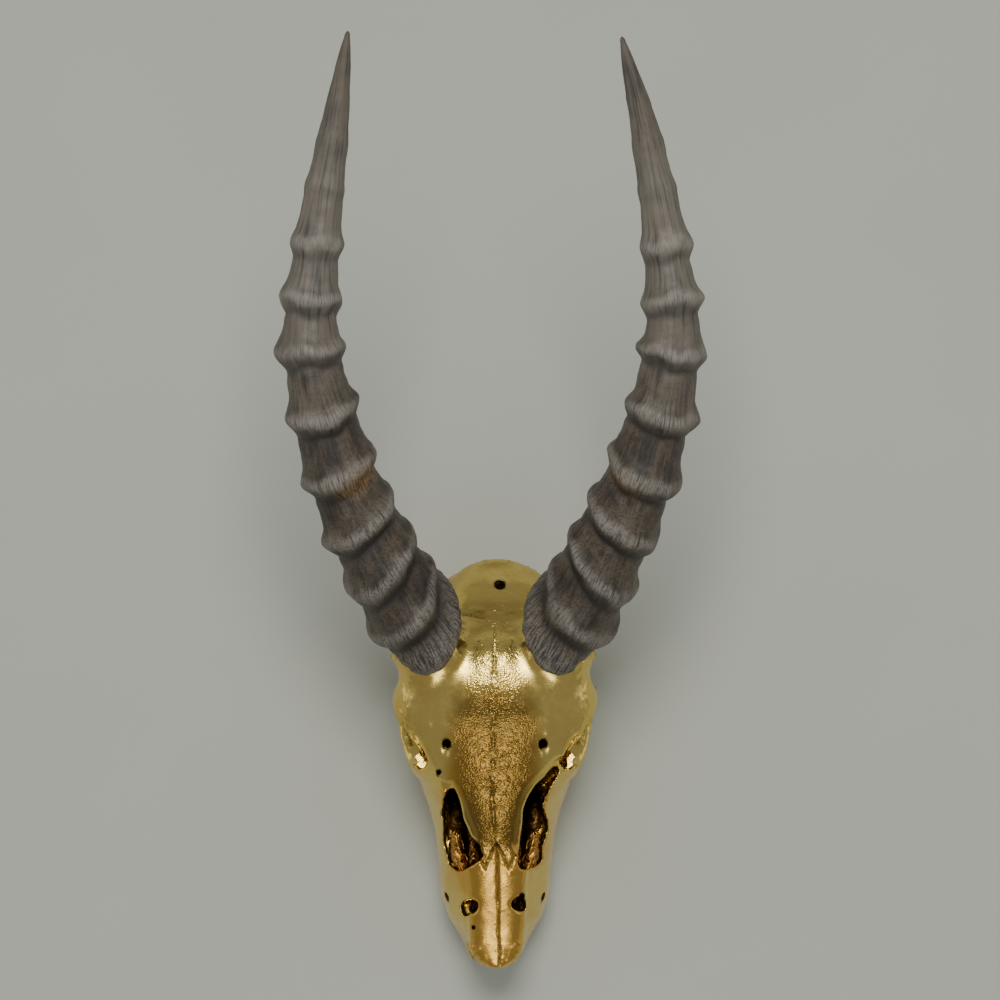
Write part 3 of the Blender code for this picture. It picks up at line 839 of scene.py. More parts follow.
@dataclass
class SkullBone:
    """The bone of the skull: one grown piece, painted gold.

    The gaps, seams and other lines are seen from above, as (x, y) places.
    """

    voxel: float = 1.25
    most_triangles: int = 172000
    ease_rounds: int = 40
    lip_rounds: int = 6
    lip_width: float = 4.2
    lip_depth: float = 2.9
    seam_width: float = 0.55
    ledge_offset: float = 0.9
    socket_floor: float = 81.5
    braincase_centre: Point = (0.0, 44.0, 73.0)
    braincase_radii: Point = (26.0, 38.0, 27.0)
    horn_seats: tuple[Point, ...] = ((-47.0, 41.0, 119.0), (44.0, 41.0, 119.0))
    nail_hole: tuple[float, float] = (3.0, 73.0)
    nail_hole_radius: float = 3.3
    paint: GoldPaint = GoldPaint()
    right_gap: Plan = (
        (41, -38), (32, -46), (22.5, -55), (18.5, -63), (16.5, -78), (15, -90), (14.5, -101),
        (22, -100), (28, -95), (30, -86), (32, -77), (32, -71), (29, -64), (33, -53), (38, -44),
    )
    left_gap: Plan = (
        (-25, -54), (-30, -57), (-32, -66), (-32, -74), (-30, -89), (-29, -96), (-25, -100),
        (-19, -102), (-12, -98), (-7.5, -95), (-9, -88), (-14, -83), (-18, -75), (-22, -62),
    )
    middle_line: Plan = (
        (0, 46), (-0.2, 10), (-0.8, -14), (-1.2, -40), (-1.8, -60), (-0.6, -76), (1.2, -88),
    )
    nose_seam: Plan = (
        (1.2, -88), (1.6, -96), (1.4, -104), (1.9, -112), (1.6, -118), (2.3, -128), (2.0, -140),
        (2.8, -150), (2.6, -159),
    )
    left_lip: Plan = ((-27, -53), (-22, -62), (-18, -75), (-14, -83))
    right_lip: Plan = (
        (40, -38.5), (32, -46), (22.5, -55), (18.5, -63), (16.5, -78), (15, -90),
    )
    cheek_ledge: Plan = ((-43, -46), (-34, -47.7), (-25.5, -52.3))
    nose_windows: tuple[tuple[Plan, float, float], ...] = (
        (((10.5, -120.5), (16, -117), (18.5, -120), (18.5, -126), (11, -125.5)), 1.2, 1.0),
        (((-20, -121), (-15.4, -120), (-15.2, -128), (-20, -128)), 1.2, 5.0),
        (((-14.4, -120.5), (-10.5, -120.5), (-10.8, -126), (-14, -127)), 1.0, 6.0),
    )
    middle_slots: tuple[tuple[float, float], ...] = ((-43.5, -37.8), (-61.0, -52.5))
    flaked_rims: tuple[Plan, ...] = (
        ((-13.5, -147), (-11.5, -152), (-8, -157)), ((14.5, -147), (13, -152), (9.5, -157)),
    )
    roof_step: Trace = Trace(((-14.0, 56.0), (-4.0, 54.6), (6.0, 54.0), (16.5, 55.2)), 1.6, 0.5)
    roof_vessel: Trace = Trace(((-6.0, 66.5), (1.0, 67.6), (8.0, 65.2), (14.0, 62.8)), 0.6, 0.3)
    roof_pits: Plan = ((-20.0, 53.2), (-12.0, 51.0), (-7.0, 49.4))
    drips: tuple[Point, ...] = (
        (-40.6, -15.5, 0.9), (-40.0, -18.2, 0.9), (-48.7, -21.8, 0.9), (32.0, -23.0, 1.0),
        (46.0, -19.5, 0.6), (-9.0, 33.8, 0.8), (9.5, 33.8, 1.0), (9.3, 40.5, 0.9), (0.3, 34.5, 0.8),
        (22.0, 22.0, 0.7), (-21.5, 24.0, 0.7),
    )
    brow_seam: Plan = (
        (-14.5, -93), (-11.5, -96.5), (-8.6, -96.6), (-6.2, -101.5), (-4.4, -97), (-2.6, -94.5),
        (-1.5, -91), (1.2, -87.5), (3.2, -91.2), (4.4, -92.4), (6.3, -97.6), (9.2, -102), (10.6, -97),
        (12.2, -94.6), (15.2, -93.4),
    )

    def solid(self) -> Forms:
        """Gather the solid forms before they are hollowed.

        Returns:
            The gathering.
        """
        forms = Forms()
        forms.skin([
            oval_ring(89, 22.5, 36, 72, shift=1.5),
            oval_ring(83, 30.5, 29, 84, shift=1.5),
            oval_ring(75, 33, 28, 91.5, shift=1.5),
            oval_ring(56, 33.5, 30, 104, shift=0.7),
            oval_ring(36, 33, 32, 116),
            oval_ring(15, 33, 36, 124),
            oval_ring(-5, 30, 42, 124),
            oval_ring(-22, 26, 50, 117),
        ])
        forms.skin([
            oval_ring(46, 32, 86, 112, 2.0),
            oval_ring(34, 44, 84, 119, 2.0),
            oval_ring(20, 56, 78, 127, 2.0),
            oval_ring(6, 63, 74, 129, 2.0),
            oval_ring(-8, 61, 70, 126, 2.0),
            oval_ring(-18, 57, 70, 122.5, 2.0),
            oval_ring(-27, 46, 70, 118.5, 2.1),
            oval_ring(-40, 40, 68, 113, 2.3),
        ])
        forms.skin(self.face_rings())
        forms.skin([
            mirrored_ring(y, (
                (0, z - 5.5), (w * 0.45, z - 6.5), (w * 0.75, z - 9.5), (w * 0.93, z - 14),
                (w, z - 12), (w * 0.94, z - 6.8), (w * 0.70, z - 2.0), (w * 0.42, z - 0.4),
                (w * 0.17, z), (0, z - 0.7),
            ), shift=1.0)
            for y, w, z in (
                (-88, 21, 92.0), (-102, 19.5, 86.3), (-120, 18.5, 78.0), (-136, 18, 70.6),
                (-149, 17, 65.2), (-156, 12, 62.2), (-161, 5, 60.3),
            )
        ])
        self.add_crown(forms)
        self.add_base(forms)
        return forms

    def face_rings(self) -> list[list[Point]]:
        """List the outlines of the face from the eye sockets to the broken muzzle."""
        halves = (
            (-5, ((0, 46), (12, 44), (20, 42), (26, 46), (30, 58), (33, 72), (34, 86), (30, 98),
                  (24, 112), (14, 121), (0, 124))),
            (-24, ((0, 27), (18, 26), (23, 14), (37, 14), (42, 34), (50, 54), (50, 66), (46, 84),
                   (42, 103), (24, 114), (0, 118.5))),
            (-45, ((0, 23), (19, 22), (23, 12.5), (37, 12.5), (40.5, 30), (46.5, 52), (47, 64),
                   (43, 82), (36.5, 99), (21, 108.5), (0, 111))),
            (-61, ((0, 22), (18, 21), (22, 12.5), (36.5, 12.5), (39, 30), (41.5, 48), (41, 60),
                   (37, 76), (29.5, 91.5), (18, 101.2), (0, 104.8))),
            (-75, ((0, 21.5), (17, 20.5), (21, 12.5), (35.5, 12.5), (37, 28), (37.8, 43),
                   (36.3, 56), (32, 69), (25, 85), (15, 95), (0, 98.8))),
            (-93, ((0, 21), (16, 20), (20, 12.5), (34, 12.5), (35.3, 26), (35.5, 38), (33, 51),
                   (27.5, 64), (20.5, 79), (11, 86.5), (0, 89.5))),
            (-113, ((0, 20.5), (14.5, 19.5), (18, 12.5), (32, 12.5), (34, 24), (34, 35), (31, 47),
                    (26, 58), (19.5, 70), (11, 77), (0, 80))),
            (-128, ((0, 20), (12, 19.5), (16, 14), (27, 14), (29, 23), (29, 32), (27, 42),
                    (23, 52), (18.5, 62), (11, 69.5), (0, 72.5))),
            (-141, ((0, 20), (9, 19.5), (12, 17), (18, 17), (21, 22), (21, 29), (20, 37),
                    (18.5, 46), (17.5, 55), (10.5, 63), (0, 66))),
            (-154, ((0, 21), (5, 20.5), (8, 18.5), (13, 18.5), (15, 22), (15, 27), (14.5, 32),
                    (13.5, 38), (12, 42), (7, 44), (0, 45))),
        )
        return [mirrored_ring(y, half) for y, half in halves]

    def add_crown(self, forms: Forms) -> None:
        """Add the horn swellings, the boss, the roof step, the eye rims and the crest."""
        # the swellings that carry the horns, which differ a little
        forms.bar([(25, 5, 101), (33, 20, 106), (41, 36, 115)], [20, 23, 24.5])
        forms.bar([(-25, 5, 101), (-34, 20, 106), (-43, 36, 115)], [20, 23, 24.5])
        # the boss between the horns, then the step and the ridge behind it
        forms.ball((0, 18, 112), (26, 22, 17))
        forms.bar([(-24, 55, 93), (-8, 57, 99.7), (8, 57, 99.7), (24, 55, 93)], [4, 4, 4, 4])
        forms.bar([(0, 56, 99), (0, 40, 111.0), (0, 26, 120)], [3.5, 3.5, 4])
        # the rims of the eye sockets and the bright floors at their front corners
        forms.bars([
            (59.5, 4, 96), (57.2, -8, 99.5), (52.5, -17, 100), (44.5, -25, 101), (40.5, -34, 98),
            (43.5, -41, 88), (46, -42, 76), (50, -33, 65), (53.5, -18, 61), (57, -3, 64.5),
            (59.5, 6, 81),
        ], [5, 4.6, 4.4, 4.2, 4, 4.2, 4.6, 5, 4.8, 5, 4.8], closed=True)
        for side in Side:
            centre = (side.value * 49, -31.0, self.socket_floor)
            forms.ball(centre, (7, 12, 2.4), (0, 0, side.value * -27))
        # the crest round the back of the head
        forms.bar([
            (-34, 74, 46), (-31, 75, 60), (-24, 82, 69), (-12.5, 88, 73.5), (0.5, 90.6, 74.5),
            (13.5, 88.5, 73.5), (26.5, 83, 69), (33, 76, 60), (35, 74, 46),
        ], [5, 4, 3.6, 3.2, 3.0, 3.2, 3.6, 4, 5])

    def add_base(self, forms: Forms) -> None:
        """Add the cheek arches, the ear region, the neck joints and the cranial floor."""
        # the cheek arches and the jaw joints under them
        forms.bars([
            (52, -30, 62), (55.5, -6, 60), (55, 12, 58), (50, 28, 57), (43, 42, 54), (33, 54, 50),
        ], [5, 6, 5, 4.6, 6.5, 8])
        forms.balls((41, 35, 49), (12, 9, 5))
        # the walls behind the ears, the ear openings and the neck joints
        forms.balls((34, 74, 48), (7, 9, 17))
        forms.balls((37, 56, 50), (8, 6, 6))
        forms.balls((13.5, 86.5, 41), (8.5, 8, 10.5), (20, 0, -20))
        # the long processes that the skull stands on
        forms.bars([(33, 78, 44), (35, 80, 26), (33, 83, -3)], [8, 5.6, 4.4])
        # the floor of the braincase with its knobs and the ear bones
        forms.bar([(0, 86, 36), (0, 60, 35), (0, 30, 42), (0, 0, 50)], [11, 12, 11, 9])
        forms.balls((9, 60, 31), (5, 9, 5))
        forms.balls((23, 56, 32), (8.5, 12, 9.5), (0, 0, 15))
        # the wings beside the inner nostrils and the ends of the upper jaws
        forms.balls((14.5, 4, 40), (3.2, 20, 17), (12, 0, 4))
        forms.balls((24, -16, 34), (10, 14, 18))

    def hollow(self) -> Forms:
        """Gather what is taken out of the bone.

        Returns:
            The gathering.
        """
        forms = Forms()
        # the eye sockets, the hollows behind them and the braincase with its great hole
        forms.balls((54, -17, 83), (31, 20.5, 18.5), (0, 0, -20))
        forms.balls((38, -12, 84), (15, 16, 14))
        forms.balls((52, 23, 78), (15, 24, 15))
        forms.balls((45, 14, 72), (11, 20, 17))
        forms.ball(self.braincase_centre, self.braincase_radii)
        forms.bar([(0, 110, 55), (0, 84, 56), (0, 66, 62)], [9.5, 9.5, 12])
        # the nose and the mouth
        forms.skin([
            mirrored_ring(y, (
                (0, low), (11, low + 0.5), (14, low + 10), (w * 0.8, low + 22),
                (w, (low + top) / 2 + 8), (w * 0.92, top - 14), (w * 0.55, top - 4), (0, top),
            ))
            for y, w, low, top in (
                (-36, 22, 32, 98), (-48, 31, 28, 101), (-62, 31, 27, 95.5), (-76, 27, 26, 89.5),
                (-94, 22, 25.5, 80.5), (-112, 17.5, 25, 71.5), (-128, 15.5, 24, 63),
                (-142, 14.5, 24, 57), (-156, 11.5, 24, 51), (-172, 11.5, 24, 50),
            )
        ])
        # the inner nostrils
        forms.bar([(0, 44, 26), (0, 18, 32), (0, -20, 37), (0, -46, 40)], [10, 10.5, 11, 12])
        for outline, seed in ((self.right_gap, 3.0), (self.left_gap, 8.0)):
            forms.post(ragged(outline, 1.6, seed), 56, 114)
        for outline, jag, seed in self.nose_windows:
            forms.post(ragged(outline, jag, seed), 50, 90)
        forms.ball((16, -157, 28), (8, 9, 12))  # breaks in the end of the muzzle
        forms.ball((-18, -153, 36), (8, 9, 9))
        return forms

    def middle_wall(self) -> Forms:
        """Gather the thin wall that parts the nose in two."""
        forms = Forms()
        forms.ball((0, -66, 54), (2.2, 60, 30), (-16, 0, 0))
        return forms

    def holes(self) -> list[tuple[Point, Point, float]]:
        """List the round holes, two ends and a radius each: roof, brow, cheeks, ears, nose."""
        x, y = self.nail_hole
        rows = [((x, y, 82), (x, y, 112), self.nail_hole_radius)]
        for side in Side:
            s = side.value
            rows += [
                ((s * 29.3, -27.5, 98), (s * 29.3, -28.8, 125), 2.6),
                ((s * 44, -124, 47), (s * 22, -112, 45), 2.6),
                ((s * 52, 58, 51), (s * 34, 56, 49), 3.2),
            ]
        return rows + [
            ((-34.2, -44.5, 85), (-34.2, -44.5, 108), 1.5),
            ((-13.2, -136.5, 58), (-13.2, -136.5, 76), 1.1),
            ((16.6, -117.4, 60), (16.6, -117.4, 80), 1.5),
        ]

    def drills(self) -> Forms:
        """Gather the round holes, cut last so that their edges stay sharp."""
        forms = Forms()
        for start, end, radius in self.holes():
            forms.drill(start, end, radius)
        return forms

    def hole_zone(self, places: np.ndarray) -> np.ndarray:
        """Tell what lies inside the round holes."""
        result = np.zeros(len(places))
        for start, end, radius in self.holes():
            gap = distance_to_route(places, (start, end))
            result = np.maximum(result, 1.0 - smooth_step(radius + 0.15, radius + 0.6, gap))
        return result

    def sockets(self, teeth: Iterable["CheekTooth"]) -> Forms:
        """Gather the seats of the teeth, a little larger than their roots."""
        forms = Forms()
        for tooth in teeth:
            forms.skin(tooth.levels(grow=0.5, lowest=10.0))
        return forms

    def build(self, teeth: Sequence["CheekTooth"]) -> bpy.types.Object:
        """Make the bone.

        Args:
            teeth: The teeth that sit in it.

        Returns:
            The finished piece.
        """
        hollow = self.hollow().finished("hollow")
        wall = self.middle_wall().finished("wall")
        for helper in (hollow, wall):
            fused = Carving(helper)
            fused.fuse(self.voxel)
            fused.settle()
        carving = Carving(self.solid().finished("skull_bone"))
        carving.fuse(self.voxel)
        carving.join(hollow, Cut.AWAY)
        carving.join(wall, Cut.ADD)
        carving.fuse(self.voxel)
        carving.soften(5)
        carving.join(self.drills().finished("drills"), Cut.AWAY)
        carving.join(self.sockets(teeth).finished("sockets"), Cut.AWAY)
        bone = carving.settle()
        count = sum(len(face.vertices) - 2 for face in bone.data.polygons)
        LOG.info("bone before thinning: %d triangles", count)
        thinning = Carving(bone)
        thinning.thin(min(1.0, self.most_triangles / count))
        thinning.settle()
        self.flatten_tips(bone)
        self.ease_crown(bone)
        self.sculpt(bone)
        self.ease_lips(bone)
        dress(bone, self.paint.make("gold_on_bone"))
        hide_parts("skull")
        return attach(bone, "root")

    def flatten_tips(self, bone: bpy.types.Object) -> None:
        """Cut the long processes off level with the ground."""
        with reworked(bone.data) as work:
            bmesh.ops.bisect_plane(
                work, geom=[*work.verts, *work.edges, *work.faces], dist=1e-6,
                plane_co=(0.0, 0.0, 0.0), plane_no=(0.0, 0.0, -1.0), clear_outer=True,
            )
            close_ends(work)

    def smooth_points(self, bone: bpy.types.Object, near: np.ndarray, rounds: int) -> None:
        """Smooth the marked points of the mesh.

        Args:
            bone: The object.
            near: One truth value for each point.
            rounds: How often they move to the middle of their neighbours.
        """
        with reworked(bone.data) as work:
            chosen = [work.verts[k] for k in np.flatnonzero(near)]
            for _ in range(rounds):
                bmesh.ops.smooth_vert(
                    work, verts=chosen, factor=0.8,
                    use_axis_x=True, use_axis_y=True, use_axis_z=True,
                )

    def ease_lips(self, bone: bpy.types.Object) -> None:
        """Round off the smooth inner rims of the gaps in the face."""
        clay = Clay(bone)
        lips = nearest(clay.places[:, :2], self.left_lip, self.right_lip)
        self.smooth_points(bone, (lips < 4.5) & (clay.places[:, 2] > 74.0), self.lip_rounds)

    def ease_crown(self, bone: bpy.types.Object) -> None:
        """Smooth the joins between the lumps of the brow and the roof, but not the holes."""
        clay = Clay(bone)
        _, y, z = clay.places.T
        far = self.from_gaps(clay.places) > 4.0
        near = (clay.normals[:, 2] > -0.2) & (z > 66.0) & (y > -66.0) & far
        near &= self.hole_zone(clay.places) < 0.01
        self.smooth_points(bone, near, self.ease_rounds)

    def sculpt(self, bone: bpy.types.Object) -> None:
        """Work seams, ridges, pits and paint wrinkles into the surface."""
        clay = Clay(bone)
        lines = nearest(clay.places[:, :2], self.nose_seam, self.brow_seam, self.middle_line)
        clay.refine((lines < 1.6) & (clay.normals[:, 2] > 0.3) & (clay.places[:, 2] > 50.0))
        places = clay.places
        z = places[:, 2]
        top = smooth_step(0.25, 0.6, clay.normals[:, 2]) * smooth_step(50.0, 56.0, z)
        lips = nearest(places[:, :2], self.left_lip, self.right_lip)
        lip = 1.0 - smooth_step(0.0, self.lip_width, lips)
        zones = {
            "top": top, "lip": lip, "inner": self.inner_zone(places, clay.normals),
            "collar": self.horn_collars(places),
            "wrinkled": self.wrinkled_zone(places) * top * (1.0 - lip),
        }
        height = self.seam_relief(places) + self.face_relief(places, lip) + self.roof_relief(places)
        height = top * height + self.nose_flakes(places) + self.grain(places, zones)
        clay.push(height * smooth_step(0.0, 3.0, z))
        self.level_socket_floors(clay, places)
        clay.write()
        self.mark(clay, places, zones)

    def seam_relief(self, places: np.ndarray) -> np.ndarray:
        """Raise beads along the middle line, and sink the seams of the nose and the brow."""
        plan, y = places[:, :2], places[:, 1]
        middle = distance_to_route(plan, self.middle_line)
        beads = 0.5 + 0.5 * np.sin(y * 2.9 + 1.3 * np.sin(y * 0.7))
        height = bell(middle, 0.9) * (0.2 + 0.9 * beads) * smooth_step(-90.0, -70.0, y)
        for low, high in self.middle_slots:
            inside = smooth_step(low - 0.5, low + 0.5, y)
            inside *= 1.0 - smooth_step(high - 0.5, high + 0.5, y)
            height -= inside * bell(middle, 0.7) * 1.9
        seam = distance_to_route(plan, self.nose_seam)
        deep = 1.0 - 0.55 * smooth_step(-118.0, -124.0, y) * (0.5 + 0.5 * beads)
        height -= bell(seam, self.seam_width) * 0.9 * deep
        height += bell(seam - 1.5, 0.7) * 0.22
        brow = distance_to_route(plan, self.brow_seam)
        height -= bell(brow, self.seam_width) * 0.95
        return height + bell(brow - 1.5, 0.7) * 0.3

    def face_relief(self, places: np.ndarray, lip: np.ndarray) -> np.ndarray:
        """Shape what lies round the gaps: gutters, lips, ledge, drips and broken rims."""
        x, y, _ = places.T
        height = -lip * self.lip_depth
        gutter = np.clip((y + 37.5) / 7.0, 0.0, 1.0) * (1.0 - smooth_step(-30.0, -28.0, y))
        for side in Side:
            height -= bell(x - side.value * 29.8, 2.3) * gutter * 2.3
        shelf = distance_to_route(places[:, :2], self.cheek_ledge)
        behind = y - np.interp(x, *np.array(self.cheek_ledge).T)
        inside = smooth_step(-45.5, -42.5, x) * (1.0 - smooth_step(-27.0, -24.5, x))
        height += inside * bell(shelf - self.ledge_offset, 1.1) * np.where(behind > 0.0, 0.8, -0.9)
        for spot_x, spot_y, rise in self.drips:
            height += bell(np.hypot(x - spot_x, y - spot_y), 1.0) * rise
        crumbs = np.clip(roughness_of(places, 2.2, 41.0, 2), 0.0, 1.0) * (np.abs(x) > 22.0)
        return height + self.broken_edges(places) * (0.45 + 1.6 * crumbs) * (1.0 - lip)

    def roof_relief(self, places: np.ndarray) -> np.ndarray:
        """Add the step, the vessel, the pits and the raised rim of the hanging hole."""
        plan, x = places[:, :2], places[:, 0]
        height = self.roof_step.lift(plan) + self.roof_vessel.lift(plan)
        pits = distance_to_route(plan, self.roof_pits)
        height -= bell(pits, 0.9) * (0.2 + 0.6 * np.sin(x * 2.2) ** 2)
        hole = np.linalg.norm(plan - np.array(self.nail_hole), axis=1)
        return height + bell(hole - 4.4, 0.8) * 0.45

    def nose_flakes(self, places: np.ndarray) -> np.ndarray:
        """Raise thick flakes along both rims of the broken tip of the nose."""
        flakes = bell(nearest(places[:, :2], *self.flaked_rims), 2.6)
        flakes *= smooth_step(40.0, 50.0, places[:, 2])
        return flakes * (0.6 + roughness_of(places, 2.2, 51.0, 2)) * 1.3

    def grain(self, places: np.ndarray, zones: dict[str, np.ndarray]) -> np.ndarray:
        """Give the bone its coarse and fine unevenness, each zone its own share."""
        x, y, _ = places.T
        rim = smooth_step(46.0, 56.0, np.abs(x)) * smooth_step(-30.0, -24.0, y) * zones["top"]
        return (
            roughness_of(places, 9.0, 2.0, 3) * (0.22 - 0.12 * zones["top"])
            + roughness_of(places, 2.6, 7.0, 2) * (0.03 + 0.10 * zones["wrinkled"])
            + roughness_of(places, 3.4, 31.0, 2) * 0.5 * rim
            + roughness_of(places, 3.0, 11.0, 2) * 0.45 * zones["collar"]
            + roughness_of(places, 4.0, 17.0, 3) * 0.9 * zones["inner"]
        )

    def level_socket_floors(self, clay: Clay, places: np.ndarray) -> None:
        """Level the small floors in the front corners of the eye sockets."""
        for side in Side:
            route = ((side.value * 44.8, -37.5), (side.value * 51.5, -25.0))
            floor = 1.0 - smooth_step(2.8, 4.4, distance_to_route(places[:, :2], route))
            floor *= (clay.normals[:, 2] > 0.0) & (places[:, 2] > 70.0)
            clay.places[:, 2] += floor * (self.socket_floor - clay.places[:, 2])

    def mark(self, clay: Clay, places: np.ndarray, zones: dict[str, np.ndarray]) -> None:
        """Store where the paint is dark with painted shade and seams, wrinkled, orange with painted
        reflection, brown and full of worm lines.

        Args:
            clay: The bone.
            places: Its points before the relief.
            zones: The shares of the zones that the relief used.
        """
        x, y, _ = places.T
        plan, top = places[:, :2], zones["top"]
        seams = bell(nearest(plan, self.nose_seam, self.brow_seam), 0.42)
        # Painted shade: dark inside the nose, the mouth, the braincase and the round holes, and in the
        # roof pits; the dark seams are the bone's own.
        clay.paint("pitted", np.maximum.reduce([
            seams * top, bell(distance_to_route(plan, self.roof_pits), 0.6) * top * 0.7,
            zones["inner"] * (0.7 + 0.3 * smooth_step(-86.0, -74.0, y)), self.hole_zone(places),
        ]))
        clay.paint("wrinkled", np.maximum(zones["wrinkled"], zones["collar"] * 0.8))
        # Painted reflection: warm orange on the nose and the middle of the face, most on upward faces.
        clay.paint("warm_reflection", self.warm_reflection_zone(places) * (1.0 - zones["lip"]) * (0.15 + 0.85 * top))
        middle = 1.0 - smooth_step(0.55, 1.25, np.abs(x) / 27.0)
        roof = 0.3 * smooth_step(34.0, 42.0, y) * (1.0 - smooth_step(58.0, 66.0, y))
        front = 0.85 * smooth_step(-98.0, -86.0, y) * (1.0 - smooth_step(-12.0, 10.0, y))
        clay.paint("brown", middle * top * (front + roof))
        worms = bell(x - 2.0, 15.0) * smooth_step(-70.0, -56.0, y)
        worms *= 1.0 - smooth_step(-36.0, -24.0, y)
        behind = 0.35 * bell(x, 12.0) * smooth_step(-92.0, -80.0, y)
        clay.paint("wormed", np.maximum(worms, behind) * top)

    def wrinkled_zone(self, places: np.ndarray) -> np.ndarray:
        """Tell where the paint wrinkled: along the middle of the brow, most in front."""
        x, y, _ = places.T
        width = 17.0 + 10.0 * bell(y + 40.0, 30.0)
        across = 1.0 - smooth_step(0.55, 1.25, np.abs(x) / width)
        return across * smooth_step(-104.0, -92.0, y) * (1.0 - smooth_step(28.0, 44.0, y)) * 0.9 + 0.12

    def warm_reflection_zone(self, places: np.ndarray) -> np.ndarray:
        """Tell where orange is painted in for the warm reflection of gold on gold: the nose and the
        middle of the face.
        """
        x, y, z = places.T
        ahead = 1.0 - smooth_step(-70.0, 30.0, y)
        across = 1.0 - smooth_step(0.6, 1.15, np.abs(x) / (34.0 - 15.0 * smooth_step(-90.0, -120.0, y)))
        return ahead * across * smooth_step(45.0, 60.0, z)

    def horn_collars(self, places: np.ndarray) -> np.ndarray:
        """Tell where the bone is rough round the foot of the horns."""
        result = np.zeros(len(places))
        for centre in self.horn_seats:
            gap = np.linalg.norm(places - np.array(centre), axis=1)
            result = np.maximum(result, 1.0 - smooth_step(26.0, 32.0, gap))
        return result

    def inner_zone(self, places: np.ndarray, normals: np.ndarray) -> np.ndarray:
        """Tell what lies inside the nose, the mouth and the braincase."""
        x, y, z = places.T
        middle = np.stack([x * 0.0, np.clip(y, -150.0, 60.0)], axis=1)
        height = 52.0 + 0.12 * (middle[:, 1] + 60.0)
        away = np.stack([x, (z - height) * 0.8], axis=1)
        inwards = -(normals[:, 0] * away[:, 0] + normals[:, 2] * away[:, 1])
        inwards = inwards / (np.linalg.norm(away, axis=1) + 1e-6)
        near = 1.0 - smooth_step(30.0, 40.0, np.linalg.norm(away, axis=1))
        nose = smooth_step(0.1, 0.5, inwards) * near * (1.0 - smooth_step(-25.0, -5.0, y))
        case = (places - np.array(self.braincase_centre)) / np.array(self.braincase_radii)
        shell = 1.0 - smooth_step(1.06, 1.12, np.linalg.norm(case, axis=1))
        shell *= smooth_step(0.0, 0.3, -np.sum(normals * case, axis=1))
        behind = np.clip(y, 66.0, 110.0)
        away = places - np.stack([x * 0.0, behind, 60.0 - 0.1 * (behind - 66.0)], axis=1)
        tunnel = 1.0 - smooth_step(14.0, 15.5, np.linalg.norm(away, axis=1))
        tunnel *= smooth_step(0.0, 3.0, -np.sum(normals * away, axis=1)) * smooth_step(58.0, 66.0, y)
        return np.maximum.reduce([nose, tunnel, shell])

    def from_gaps(self, places: np.ndarray) -> np.ndarray:
        """Measure how far places are from the outlines of the gaps, seen from above."""
        outlines = [(*outline, outline[0]) for outline in (self.right_gap, self.left_gap)]
        return nearest(places[:, :2], *outlines)

    def broken_edges(self, places: np.ndarray) -> np.ndarray:
        """Tell where broken rims stand a little proud, round the gaps of the face."""
        return bell(self.from_gaps(places) - 1.2, 0.9)


@dataclass
class NoseScrolls:
    """The thin curled bones that show through the gaps in front of the eyes."""

    # A darker copy of the gold paint: painted shade for the scrolls deep in the nose.
    paint: GoldPaint = GoldPaint(
        light=(0.66, 0.46, 0.13), deep=(0.40, 0.20, 0.045), hammer_size=4.0, smooth=0.3,
    )
    wall: float = 0.9
    long_steps: int = 44
    curl_steps: int = 22
    rolls: tuple[tuple[Point, Point, float, float, float], ...] = (
        ((11, -52, 70), (12, -92, 58), 6.0, 1.3, 2.2),
        ((25, -78, 66), (20, -102, 64), 5.2, 1.1, 3.6),
        ((14, -86, 66), (11, -126, 48), 4.6, 1.2, 1.1),
        ((24, -60, 56), (24, -94, 48), 6.0, 1.2, 5.0),
    )

    def roll(self, work: bmesh.types.BMesh, row: tuple, side: Side) -> None:
        """Add one curled sheet.

        Args:
            work: Where it goes.
            row: Its two ends, radius, turns and starting angle.
            side: The side of the nose it is on.
        """
        start, end, radius, turns, phase = row
        made = bmesh.ops.create_grid(
            work, x_segments=self.long_steps, y_segments=self.curl_steps, size=0.5,
        )
        for vertex in made["verts"]:
            along, round_ = vertex.co.x + 0.5, vertex.co.y + 0.5
            centre = Vector(start).lerp(Vector(end), along)
            swell = math.sin(math.pi * min(max(along, 0.02), 0.98)) ** 0.4
            reach = radius * (1.0 - 0.62 * round_) * swell
            angle = phase + math.tau * turns * round_
            place = centre + Vector((math.cos(angle) * reach, 0.0, math.sin(angle) * reach))
            place += noise.noise_vector(place * 0.22) * 1.5 + noise.noise_vector(place * 0.6) * 0.9
            place.y += noise.noise(Vector((angle * 0.9, radius, phase))) * 7.0
            place.x *= side.value
            vertex.co = at(place)

    def build(self) -> bpy.types.Object:
        """Make the scrolls of both sides.

        Returns:
            The finished piece.
        """
        work = bmesh.new()
        for side in Side:
            for row in self.rolls:
                self.roll(work, row, side)
        bmesh.ops.recalc_face_normals(work, faces=work.faces)
        scrolls = handed_over(work, "nose_scrolls")
        carving = Carving(scrolls)
        carving.thicken(self.wall)
        carving.settle()
        clay = Clay(scrolls)
        clay.paint("wrinkled", np.full(len(clay.places), 0.5))
        # Painted reflection: warm orange all over the scrolls.
        clay.paint("warm_reflection", np.full(len(clay.places), 0.9))
        clay.paint("wormed", np.zeros(len(clay.places)))
        clay.paint("brown", np.zeros(len(clay.places)))
        # Painted shade: darker towards the back of the nose and low down in it, mottled by noise.
        depth = smooth_step(-80.0, -62.0, clay.places[:, 1])
        depth = np.maximum(depth, 1.0 - smooth_step(52.0, 66.0, clay.places[:, 2]))
        clay.paint("pitted", 0.12 + 0.88 * depth + 0.8 * roughness_of(clay.places, 4.0, 5.0, 2))
        dress(scrolls, self.paint.make("shaded_gold_on_scrolls"))
        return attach(scrolls, "root")


